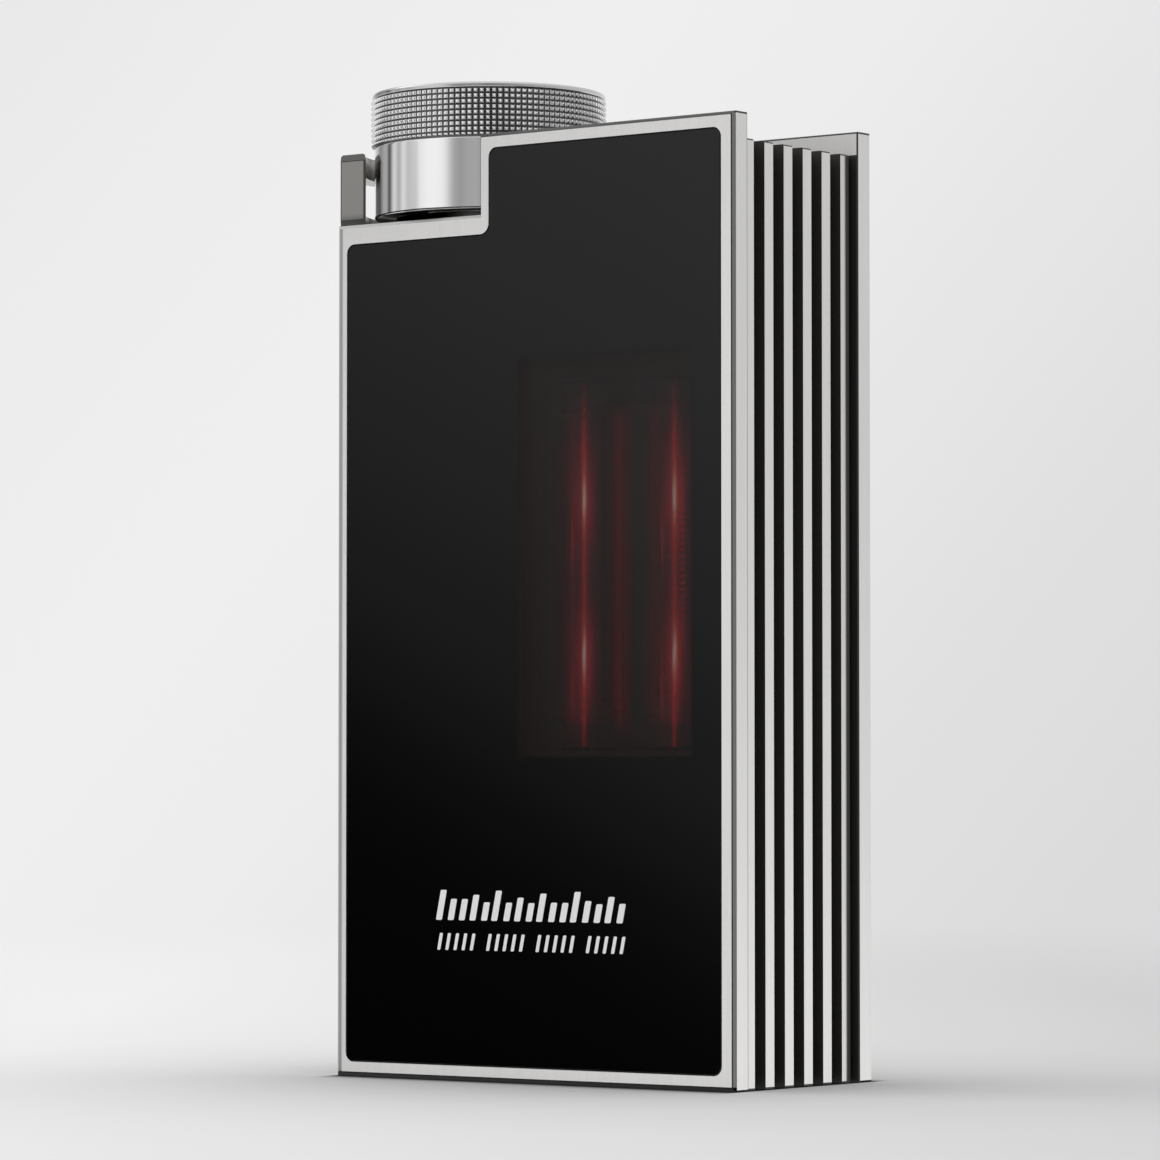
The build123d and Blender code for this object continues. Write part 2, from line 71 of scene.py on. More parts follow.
# ------------------------------------------------------------------ node helpers
class Nodes:
    """Small helper that adds and wires shader nodes in one tree."""

    def __init__(self, tree):
        self.t = tree
        self.n = tree.nodes
        self.l = tree.links

    def add(self, kind, **props):
        n = self.n.new(kind)
        for k, v in props.items():
            setattr(n, k, v)
        return n

    def put(self, sock, v):
        if isinstance(v, bpy.types.NodeSocket):
            self.l.new(v, sock)
        elif v is not None:
            sock.default_value = v

    def math(self, op, a, b=None, c=None, clamp=False):
        n = self.add("ShaderNodeMath", operation=op, use_clamp=clamp)
        self.put(n.inputs[0], a)
        if b is not None:
            self.put(n.inputs[1], b)
        if c is not None:
            self.put(n.inputs[2], c)
        return n.outputs[0]

    def vmath(self, op, a, b=None, out=0):
        n = self.add("ShaderNodeVectorMath", operation=op)
        self.put(n.inputs[0], a)
        if b is not None:
            self.put(n.inputs[1], b)
        return n.outputs[out]

    def dot(self, a, vec):
        return self.vmath("DOT_PRODUCT", a, tuple(vec), out="Value")

    def smooth(self, v, lo, hi, a=0.0, b=1.0):
        n = self.add("ShaderNodeMapRange", interpolation_type="SMOOTHSTEP", clamp=True)
        self.put(n.inputs["Value"], v)
        n.inputs["From Min"].default_value = lo
        n.inputs["From Max"].default_value = hi
        n.inputs["To Min"].default_value = a
        n.inputs["To Max"].default_value = b
        return n.outputs[0]

    def lin(self, v, lo, hi, a=0.0, b=1.0):
        n = self.add("ShaderNodeMapRange", interpolation_type="LINEAR", clamp=True)
        self.put(n.inputs["Value"], v)
        n.inputs["From Min"].default_value = lo
        n.inputs["From Max"].default_value = hi
        n.inputs["To Min"].default_value = a
        n.inputs["To Max"].default_value = b
        return n.outputs[0]

    def ramp(self, v, stops, interpolation="LINEAR"):
        n = self.add("ShaderNodeValToRGB")
        n.color_ramp.interpolation = interpolation
        e = n.color_ramp.elements
        while len(e) > 1:
            e.remove(e[-1])
        for i, (p, c) in enumerate(stops):
            el = e[0] if i == 0 else e.new(p)
            el.position = p
            c = (c, c, c) if isinstance(c, (int, float)) else c
            el.color = (c[0], c[1], c[2], 1.0)
        self.put(n.inputs[0], v)
        return n.outputs[0]

    def mix(self, f, a, b, blend="MIX"):
        n = self.add("ShaderNodeMix", data_type="RGBA", blend_type=blend)
        self.put(n.inputs[0], f)
        for s, v in ((n.inputs[6], a), (n.inputs[7], b)):
            if isinstance(v, tuple) and len(v) == 3:
                v = (*v, 1.0)
            self.put(s, v)
        return n.outputs[2]

    def object_co(self):
        return self.add("ShaderNodeTexCoord").outputs["Object"]

    def scaled(self, co, s):
        n = self.add("ShaderNodeMapping", vector_type="POINT")
        self.put(n.inputs["Vector"], co)
        n.inputs["Scale"].default_value = s if isinstance(s, tuple) else (s, s, s)
        return n.outputs[0]

    def noise(self, co, scale, detail=3.0, rough=0.5, out=0):
        n = self.add("ShaderNodeTexNoise")
        self.put(n.inputs["Vector"], co)
        n.inputs["Scale"].default_value = scale
        n.inputs["Detail"].default_value = detail
        n.inputs["Roughness"].default_value = rough
        return n.outputs[out]

    def xyz(self, co):
        n = self.add("ShaderNodeSeparateXYZ")
        self.put(n.inputs[0], co)
        return n.outputs[0], n.outputs[1], n.outputs[2]

    def bump(self, h, strength, dist, normal=None):
        n = self.add("ShaderNodeBump")
        n.inputs["Strength"].default_value = strength
        n.inputs["Distance"].default_value = dist
        self.put(n.inputs["Height"], h)
        if normal is not None:
            self.put(n.inputs["Normal"], normal)
        return n.outputs[0]


def material(name):
    m = bpy.data.materials.new(name)
    m.use_nodes = True
    w = Nodes(m.node_tree)
    w.n.clear()
    out = w.add("ShaderNodeOutputMaterial")
    p = w.add("ShaderNodeBsdfPrincipled")
    w.l.new(p.outputs[0], out.inputs["Surface"])
    return m, w, p


def rgb(*c):
    return (c[0], c[1], c[2], 1.0)


def dress(name, m):
    """Gives a carried-over CAD piece its material."""
    o = N[name]
    o.data.materials.clear()
    o.data.materials.append(m)
    for poly in o.data.polygons:
        poly.material_index = 0


# ------------------------------------------------------------------ metals
def bell(w, v, centre, width):
    q = w.math("DIVIDE", w.math("SUBTRACT", v, centre), width)
    return w.math("EXPONENT", w.math("MULTIPLY", w.math("MULTIPLY", q, q), -1.0))


def satin_metal(name, base, rough, metallic=1.0, streak=0.10, edge_shades=None, bump=0.05, extra=None, shade=None):
    """Brushed satin metal: long fine vertical streaks, a faint grain and, if given, painted shade on the chamfered
    edges, a darker copy of the colour for each way an edge faces.
    """
    m, w, p = material(name)
    co = w.object_co()
    fine = w.noise(w.scaled(co, (1.0, 1.0, 0.02)), 9000.0, 2.0, 0.55)
    broad = w.noise(w.scaled(co, (1.0, 1.0, 0.02)), 1400.0, 2.0, 0.5)
    cloud = w.noise(co, 90.0, 3.0, 0.5)
    pits = w.noise(co, 7000.0, 2.0, 0.6)
    s = w.math("ADD", w.math("MULTIPLY", w.math("SUBTRACT", fine, 0.5), streak),
               w.math("MULTIPLY", w.math("SUBTRACT", broad, 0.5), streak * 0.6))
    s = w.math("ADD", s, w.math("MULTIPLY", w.math("SUBTRACT", cloud, 0.5), 0.05))
    s = w.math("ADD", s, w.math("MULTIPLY", w.math("SUBTRACT", pits, 0.5), 0.05))
    tone = w.math("ADD", s, 1.0)
    if shade is not None:
        tone = w.math("MULTIPLY", tone, shade(w, co))
    comb = w.add("ShaderNodeCombineColor")
    for i in range(3):
        w.put(comb.inputs[i], w.math("MULTIPLY", tone, base[i]))
    col = comb.outputs[0]
    rr = w.math("ADD", w.math("MULTIPLY", w.math("SUBTRACT", fine, 0.5), 0.12), rough)
    met = None
    if edge_shades is not None:
        # painted light and shade: each chamfer takes its own darker copy of the base colour by the way it faces (left,
        # right, up, down)
        left, right_, up_, down_ = edge_shades
        x, y, z = w.xyz(co)
        nrm = w.add("ShaderNodeNewGeometry").outputs["True Normal"]
        sx, sy, sz = w.xyz(nrm)
        ax, ay, az = w.xyz(w.vmath("ABSOLUTE", nrm))
        flat = w.math("MAXIMUM", ax, w.math("MAXIMUM", ay, az))
        edge = w.math("LESS_THAN", flat, 0.94)
        upright = w.mix(w.math("GREATER_THAN", sx, 0.0), tuple(c * left for c in base[:3]), tuple(c * right_ for c in base[:3]))
        level = w.mix(w.math("GREATER_THAN", sz, 0.0), tuple(c * down_ for c in base[:3]), tuple(c * up_ for c in base[:3]))
        k = w.mix(w.math("GREATER_THAN", az, 0.3), upright, level)
        col = w.mix(edge, col, k)
        rr = w.mix(edge, rr, (0.20, 0.20, 0.20))
        met = w.math("MAXIMUM", edge, metallic)
    if extra is not None:
        for mask, colour, gloss, *bare in extra(w, x, y, z, sx, sy, sz, ax, ay, az):
            col = w.mix(mask, col, colour)
            met = w.math("MAXIMUM", met, mask) if bare else w.math("MULTIPLY", met, w.math("SUBTRACT", 1.0, mask))
            rr = w.mix(mask, rr, (gloss, gloss, gloss))
    w.put(p.inputs["Base Color"], col)
    w.put(p.inputs["Roughness"], rr)
    if met is None:
        p.inputs["Metallic"].default_value = metallic
    else:
        w.put(p.inputs["Metallic"], met)
    w.put(p.inputs["Normal"], w.bump(fine, bump, 0.00002))
    return m, w, p


def polished(name, base, rough, smear=0.03, cloud_scale=300.0, tarnish=0.03, rings=None):
    """Polished turned metal with faint turning marks and a little variation in gloss."""
    m, w, p = material(name)
    co = w.object_co()
    c = w.noise(co, cloud_scale, 4.0, 0.55)
    tone = w.math("ADD", w.math("MULTIPLY", w.math("SUBTRACT", c, 0.5), tarnish * 2), 1.0)
    comb = w.add("ShaderNodeCombineColor")
    for i in range(3):
        w.put(comb.inputs[i], tone)
    w.put(p.inputs["Base Color"], w.mix(1.0, base, comb.outputs[0], "MULTIPLY"))
    p.inputs["Metallic"].default_value = 1.0
    w.put(p.inputs["Roughness"], w.math("ADD", w.math("MULTIPLY", w.math("SUBTRACT", c, 0.5), smear), rough))
    lines = w.noise(w.scaled(co, (0.02, 0.02, 1.0)), 14000.0, 2.0, 0.5)
    w.put(p.inputs["Normal"], w.bump(lines, 0.03, 0.000004))
    return m, w, p


def both(w, *masks):
    r = masks[0]
    for k in masks[1:]:
        r = w.math("MULTIPLY", r, k)
    return r


def within(w, v, lo, hi):
    return w.math("MULTIPLY", w.math("GREATER_THAN", v, lo * MM), w.math("LESS_THAN", v, hi * MM))


def side_painted_light(w, z):
    """Painted light: side faces are lighter towards the lower end and darker towards the top."""
    return w.ramp(w.lin(z, 0.0, 64.5 * MM), [(0.0, 1.12), (0.15, 1.07), (0.30, 1.01), (0.50, 0.955), (0.65, 0.925), (1.0, 0.89)])


# Painted light and shade: the front face is lighter to the right and at mid height and darker near the top; the side
# faces take the painted side light.
def plate_shade(w, co):
    x, y, z = w.xyz(co)
    nrm = w.add("ShaderNodeNewGeometry").outputs["True Normal"]
    ax, ay, az = w.xyz(w.vmath("ABSOLUTE", nrm))
    front = w.math("ADD", w.lin(x, -17 * MM, 17 * MM, 0.975, 1.06), w.math("MULTIPLY", bell(w, z, 30 * MM, 26 * MM), 0.05))
    front = w.math("ADD", front, w.smooth(z, 54 * MM, 62 * MM, 0.0, -0.065))
    return w.math("ADD", w.math("MULTIPLY", w.math("GREATER_THAN", ax, 0.94), side_painted_light(w, z)),
                  w.math("MULTIPLY", w.math("LESS_THAN", ax, 0.9401), front))


def plate_painted_shading(w, x, y, z, sx, sy, sz, ax, ay, az):
    """Painted shade: dark lines along the top edge, the front vertical chamfer and the gaps beside the chassis,
    near-black inner faces, a black foot and lower chamfer, a darker strip along the left front edge, a mid grey on the
    notch's top chamfer and a warm dim tone standing in for the light on the window cut's walls.
    """
    dark, black = (0.022, 0.021, 0.020), (0.0015, 0.0015, 0.0015)
    wall = w.math("LESS_THAN", az, 0.94)
    yield both(w, w.math("GREATER_THAN", z, 64.375 * MM), wall), dark, 0.35
    rim = w.ramp(w.lin(x, -16.72 * MM, -16.36 * MM), [(0.0, .52), (0.22, .42), (0.45, .33), (0.62, .37), (0.80, .52), (1.0, .80)])
    yield both(w, w.math("GREATER_THAN", ay, 0.94), w.math("LESS_THAN", y, -7.9 * MM), w.math("LESS_THAN", x, -16.36 * MM)), rim, 0.40
    yield both(w, w.math("GREATER_THAN", sz, 0.3), w.math("LESS_THAN", sy, -0.3), within(w, z, 58.70, 58.975)), (0.39, 0.387, 0.382), 0.42, True
    yield both(w, w.math("LESS_THAN", z, 0.30 * MM), w.math("GREATER_THAN", ay, 0.3), wall), black, 0.22, True
    yield both(w, w.math("LESS_THAN", z, 0.11 * MM), wall), black, 0.22, True
    side = w.math("GREATER_THAN", ax, 0.94)
    yield both(w, side, within(w, y, -6.56, -6.40)), (0.03, 0.029, 0.028), 0.35
    yield both(w, w.math("LESS_THAN", az, 0.3), w.math("GREATER_THAN", sx, 0.3), w.math("LESS_THAN", ax, 0.94), within(w, y, -8.06, -7.985)), dark, 0.35
    yield both(w, w.math("LESS_THAN", az, 0.3), within(w, y, 6.451, 6.575)), dark, 0.35
    yield both(w, w.math("GREATER_THAN", ay, 0.94), within(w, y, -6.46, 6.46), w.math("LESS_THAN", z, 62.92 * MM)), (0.016, 0.0155, 0.015), 0.46
    yield both(w, within(w, x, -2.0, 13.3), within(w, z, 21.6, 49.75), within(w, y, -7.4, 0.0)), (0.30, 0.235, 0.215), 0.7


# the plates' chamfers are painted darker by the way they face, the up and down facing ones nearly black: painted shade
satin, _, _ = satin_metal("satin_plate", rgb(0.86, 0.853, 0.842), 0.44, 0.80, edge_shades=(0.15, 0.46, 0.055, 0.01),
                          extra=plate_painted_shading, shade=plate_shade)

# chassis: black anodised, with the rib faces machined bright
ribm, w, p = material("chassis_finish")
co = w.object_co()
x, y, z = w.xyz(co)
nx, ny, nz = w.xyz(w.add("ShaderNodeNewGeometry").outputs["True Normal"])
fine = w.noise(w.scaled(co, (1.0, 1.0, 0.02)), 9000.0, 2.0, 0.55)
broad = w.noise(w.scaled(co, (1.0, 1.0, 0.02)), 1400.0, 2.0, 0.5)
grain = w.noise(co, 16000.0, 3.0, 0.6)
face = w.math("GREATER_THAN", w.math("ABSOLUTE", x), 0.016485)
facing = w.math("GREATER_THAN", w.math("ABSOLUTE", nx), 0.94)
# painted shade: the last rib's bright face fades to black towards the back plate, and the rib faces are black within
# about 0.1 mm of the foot and the top
last_rib_painted_shade = w.smooth(y, 0.00548, 0.00574, 1.0, 0.0)
bright = both(w, face, facing, last_rib_painted_shade, within(w, z, 0.12, 62.79))
s = w.math("ADD", 1.0, w.math("ADD", w.math("MULTIPLY", w.math("SUBTRACT", fine, 0.5), 0.10),
                              w.math("MULTIPLY", w.math("SUBTRACT", broad, 0.5), 0.06)))
comb = w.add("ShaderNodeCombineColor")
# the rib faces also take the painted side light, lighter towards the foot
s = w.math("MULTIPLY", s, side_painted_light(w, z))
for i, k in enumerate((0.86, 0.853, 0.842)):
    w.put(comb.inputs[i], w.math("MULTIPLY", s, k))
comb2 = w.add("ShaderNodeCombineColor")
for i, k in enumerate((0.034, 0.0315, 0.0290)):
    w.put(comb2.inputs[i], w.math("MULTIPLY", w.math("ADD", w.math("MULTIPLY", grain, 0.8), 0.6), k))
w.put(p.inputs["Base Color"], w.mix(bright, comb2.outputs[0], comb.outputs[0]))
w.put(p.inputs["Metallic"], w.math("MULTIPLY", bright, 0.80))
w.put(p.inputs["Roughness"], w.mix(bright, (0.46, 0.46, 0.46), (0.44, 0.44, 0.44)))
p.inputs["Specular IOR Level"].default_value = 0.45
w.put(p.inputs["Normal"], w.bump(grain, 0.10, 0.00001))
chassis_m = ribm



def guard_painted_shade(w, x, y, z, sx, sy, sz, ax, ay, az):
    """Painted shade: darker bands along the guard's upper and lower edges and its ends, and on its walls towards the
    foot under the dial.
    """
    end = w.math("GREATER_THAN", w.math("ABSOLUTE", y), 6.24 * MM)
    yield both(w, within(w, z, 63.68, 63.79), end), (0.03, 0.028, 0.026), 0.4
    yield both(w, w.math("GREATER_THAN", z, 64.15 * MM), w.math("LESS_THAN", az, 0.94)), (0.02, 0.019, 0.018), 0.4
    yield both(w, w.math("ADD", w.math("GREATER_THAN", x, -16.03 * MM), w.math("LESS_THAN", x, -18.0 * MM), clamp=True), end,
               w.math("LESS_THAN", az, 0.94)), (0.03, 0.028, 0.026), 0.4
    low = w.smooth(z, 59.25 * MM, 60.1 * MM, 0.85, 0.0)
    yield both(w, low, w.math("LESS_THAN", az, 0.94)), (0.02, 0.018, 0.016), 0.45


# the guard's chamfers are also painted darker by the way they face: painted shade
guard_m, _, _ = satin_metal("guard_steel", rgb(0.355, 0.345, 0.33), 0.30, streak=0.05, edge_shades=(0.30, 0.30, 0.13, 0.10), bump=0.03, extra=guard_painted_shade)
chrome, w, p = polished("polished_metal", rgb(0.93, 0.93, 0.935), 0.045, tarnish=0.015)
cz = w.xyz(w.object_co())[2]
cnz = w.xyz(w.add("ShaderNodeNewGeometry").outputs["True Normal"])[2]
# painted shade: a near-black band on the skirt's lower chamfer, just above its bottom face
w.put(p.inputs["Base Color"], w.mix(both(w, within(w, cz, 59.665, 59.75), w.math("GREATER_THAN", cnz, -0.94)), p.inputs["Base Color"].links[0].from_socket, (0.035, 0.035, 0.036)))
knurl_m, w, p = polished("knurled_metal", rgb(0.97, 0.97, 0.975), 0.15, smear=0.06, tarnish=0.05)
kco = w.object_co()
kx, ky, kz = w.xyz(kco)
kdx = w.math("ADD", kx, 0.00981)
krad = w.math("SQRT", w.math("ADD", w.math("MULTIPLY", kdx, kdx), w.math("MULTIPLY", ky, ky)))
kband = w.math("MULTIPLY", w.math("LESS_THAN", kz, 0.06797), w.math("GREATER_THAN", krad, 0.0075))
# painted shade: the groove bottoms of the knurl are painted near black
groove_painted_shade = w.math("MULTIPLY", w.smooth(krad, 0.00807, 0.00812, 1.0, 0.0), kband)
knx, kny, knz = w.xyz(w.add("ShaderNodeNewGeometry").outputs["Normal"])
base_link = p.inputs["Base Color"].links[0].from_socket
# painted shade: the steep flanks of each knurl block are painted a little darker, less so where they face up
out_ = w.math("DIVIDE", w.math("ADD", w.math("MULTIPLY", knx, kdx), w.math("MULTIPLY", kny, ky)), krad)
flank_painted_shade = w.math("MULTIPLY", w.smooth(out_, 0.64, 0.92, 1.0, 0.0), kband)
flank_painted_shade = w.math("MULTIPLY", flank_painted_shade, w.smooth(knz, 0.05, 0.45, 1.0, 0.35))
kcol = w.mix(flank_painted_shade, base_link, (0.84, 0.84, 0.845))
kcol = w.mix(groove_painted_shade, kcol, (0.11, 0.11, 0.111))
rimband = w.math("MULTIPLY", w.math("GREATER_THAN", kz, 0.06797), w.math("GREATER_THAN", krad, 0.0079))
top_rings = w.noise(w.scaled(kco, (1.0, 1.0, 0.0)), 60.0, 1.0, 0.5)
ring_k = w.add("ShaderNodeCombineXYZ")
w.put(ring_k.inputs[0], krad)
top_fine = w.noise(ring_k.outputs[0], 9000.0, 3.0, 0.7)
topface = w.math("GREATER_THAN", kz, 0.068325)
kcol = w.mix(topface, kcol, w.mix(w.math("MULTIPLY", w.math("ADD", top_fine, top_rings), 0.5), (0.40, 0.40, 0.40), (0.58, 0.58, 0.58)))
kcol = w.mix(rimband, kcol, (0.62, 0.62, 0.62))
w.put(p.inputs["Base Color"], kcol)
spun_m, w, p = polished("spun_metal", rgb(0.56, 0.56, 0.56), 0.26, smear=0.06)
brass_m, _, _ = polished("brass", rgb(0.80, 0.62, 0.33), 0.28, smear=0.10, tarnish=0.08)
steel_m, _, _ = polished("steel", rgb(0.62, 0.62, 0.63), 0.26, smear=0.08, tarnish=0.06)
ring_m, _, _ = polished("socket_ring", rgb(0.58, 0.575, 0.565), 0.20, smear=0.08, tarnish=0.06)
nickel_m, _, _ = polished("nickel_brass", rgb(0.78, 0.74, 0.66), 0.22, smear=0.08, tarnish=0.05)
screw_m, _, _ = polished("black_steel", rgb(0.055, 0.055, 0.058), 0.30, smear=0.10, tarnish=0.15)
gold_m, _, _ = polished("gold_plate", rgb(0.95, 0.72, 0.34), 0.20, smear=0.06, tarnish=0.05)
shell_m, _, _ = polished("usb_shell_steel", rgb(0.60, 0.60, 0.61), 0.20, smear=0.08, tarnish=0.06)


# ------------------------------------------------------------------ plastics, rubber, boards
def solid(name, base, rough, grain_scale, grain_amt=0.15, bump=0.1, bump_d=0.00001, spec=0.5, metallic=0.0, sheen=None):
    m, w, p = material(name)
    co = w.object_co()
    g = w.noise(co, grain_scale, 4.0, 0.6)
    tone = w.math("ADD", w.math("MULTIPLY", w.math("SUBTRACT", g, 0.5), grain_amt * 2), 1.0)
    comb = w.add("ShaderNodeCombineColor")
    for i in range(3):
        w.put(comb.inputs[i], w.math("MULTIPLY", tone, base[i]))
    w.put(p.inputs["Base Color"], comb.outputs[0])
    w.put(p.inputs["Roughness"], w.math("ADD", w.math("MULTIPLY", w.math("SUBTRACT", g, 0.5), 0.15), rough))
    p.inputs["Specular IOR Level"].default_value = spec
    p.inputs["Metallic"].default_value = metallic
    w.put(p.inputs["Normal"], w.bump(g, bump, bump_d))
    return m, w, p


tape_m, _, _ = solid("black_tape", (0.006, 0.006, 0.006), 0.6, 5000.0)
plastic_m, _, _ = solid("black_plastic", (0.014, 0.014, 0.015), 0.38, 9000.0, 0.3, 0.12)
white_m, _, _ = solid("white_plastic", (0.70, 0.69, 0.66), 0.42, 6000.0, 0.05)
# the cradle's colour is lifted above black silicone and it gets a faint warm emission that rises towards the top:
# painted light from the tubes
silicone_m, w, p = solid("black_silicone", (0.16, 0.12, 0.11), 0.6, 7000.0, 0.3, 0.15, spec=0.2)
spill = w.noise(w.scaled(w.object_co(), (1.0, 1.0, 0.06)), 900.0, 3.0, 0.6)
p.inputs["Emission Color"].default_value = (1.0, 0.66, 0.56, 1.0)
w.put(p.inputs["Emission Strength"], w.math("MULTIPLY", w.math("ADD", w.math("MULTIPLY", spill, 0.7), 0.65),
                                           w.lin(w.xyz(w.object_co())[2], 22 * MM, 46 * MM, 0.0130, 0.0185)))
epoxy_m, _, _ = solid("chip_epoxy", (0.022, 0.022, 0.024), 0.5, 20000.0, 0.4, 0.25)
film_m, _, _ = solid("capacitor_film", (0.50, 0.09, 0.035), 0.28, 2500.0, 0.15, 0.15)
tant_m, _, _ = solid("tantalum_epoxy", (0.75, 0.42, 0.05), 0.4, 6000.0, 0.1)
ferrite_m, _, _ = solid("ferrite", (0.05, 0.048, 0.046), 0.62, 12000.0, 0.4, 0.3)
flex_m, _, _ = solid("flex_film", (0.55, 0.26, 0.05), 0.3, 3000.0, 0.1)
lead_m, _, _ = solid("oxidised_lead_wire", (0.030, 0.024, 0.021), 0.5, 4000.0, 0.2, 0.1, metallic=0.6)
wire_m, _, _ = solid("tinned_wire", (0.72, 0.71, 0.68), 0.3, 4000.0, 0.1, 0.1, metallic=1.0)

# circuit board: solder mask with faint traces
board_m, w, p = material("circuit_board")
co = w.object_co()
vor = w.add("ShaderNodeTexVoronoi", feature="DISTANCE_TO_EDGE", distance="CHEBYCHEV")
w.put(vor.inputs["Vector"], w.scaled(co, (1.0, 1.0, 1.6)))
vor.inputs["Scale"].default_value = 900.0
tr = w.smooth(vor.outputs["Distance"], 0.05, 0.09, 1.0, 0.0)
g = w.noise(co, 6000.0, 3.0, 0.6)
w.put(p.inputs["Base Color"], w.mix(tr, (0.012, 0.035, 0.020), (0.025, 0.075, 0.040)))
w.put(p.inputs["Roughness"], w.math("ADD", w.math("MULTIPLY", g, 0.1), 0.33))
w.put(p.inputs["Normal"], w.bump(w.math("ADD", tr, w.math("MULTIPLY", g, 0.2)), 0.25, 0.00002))

# ------------------------------------------------------------------ smoked glass
GW = (-1.85 * MM, 13.15 * MM, 21.75 * MM, 49.6 * MM)     # clear window in the back print
glass_m, w, p = material("smoked_glass")
co = w.object_co()
x, y, z = w.xyz(co)
xs = w.math("SUBTRACT", x, w.math("MULTIPLY", w.math("LESS_THAN", y, -7.9 * MM), 0.58 * MM))
inx = w.math("MULTIPLY", w.smooth(xs, GW[0] + 0.00002, GW[0] + 0.00045), w.smooth(xs, GW[1] - 0.00040, GW[1] - 0.00002, 1.0, 0.0))
inz = w.math("MULTIPLY", w.smooth(z, GW[2] + 0.00001, GW[2] + 0.00014), w.smooth(z, GW[3] - 0.00130, GW[3] - 0.00004, 1.0, 0.0))
ny = w.xyz(w.add("ShaderNodeNewGeometry").outputs["True Normal"])[1]
win = w.math("MULTIPLY", w.math("MULTIPLY", inx, inz), w.math("GREATER_THAN", w.math("ABSOLUTE", ny), 0.5))
smudge = w.noise(co, 70.0, 4.0, 0.6)
w.put(p.inputs["Base Color"], w.mix(win, (0.0009, 0.0009, 0.0010), (0.0100, 0.0078, 0.0074)))
w.put(p.inputs["Roughness"], w.math("ADD", w.math("MULTIPLY", smudge, 0.02), 0.035))
p.inputs["IOR"].default_value = 1.40
w.put(p.inputs["Alpha"], w.math("SUBTRACT", 1.0, w.math("MULTIPLY", win, 0.42)))
w.put(p.inputs["Normal"], w.bump(w.noise(co, 25.0, 2.0, 0.5), 0.02, 0.00001))
glass_m.use_backface_culling = False

# ------------------------------------------------------------------ tubes
TX = {"left": 1.75 * MM, "right": 9.25 * MM}
TY = -3.95 * MM
HOT = (39.4 * MM, 28.9 * MM)


def hot_zones(w, z, width, shift=0.0):
    """Two hot zones along a heater."""
    return w.math("ADD", bell(w, z, HOT[0] + shift, width), bell(w, z, HOT[1] + shift, width))


def run_zone(w, z):
    """The dimmer run of a heater, fading to both ends."""
    return w.ramp(w.lin(z, 21 * MM, 48 * MM), [(0.0, .30), (0.05, .50), (0.10, .80), (0.17, .95), (0.24, .90), (0.32, .90), (0.6, .80), (0.70, .88), (0.81, 1.0), (0.88, .58), (0.955, .12), (1.0, 0.0)])


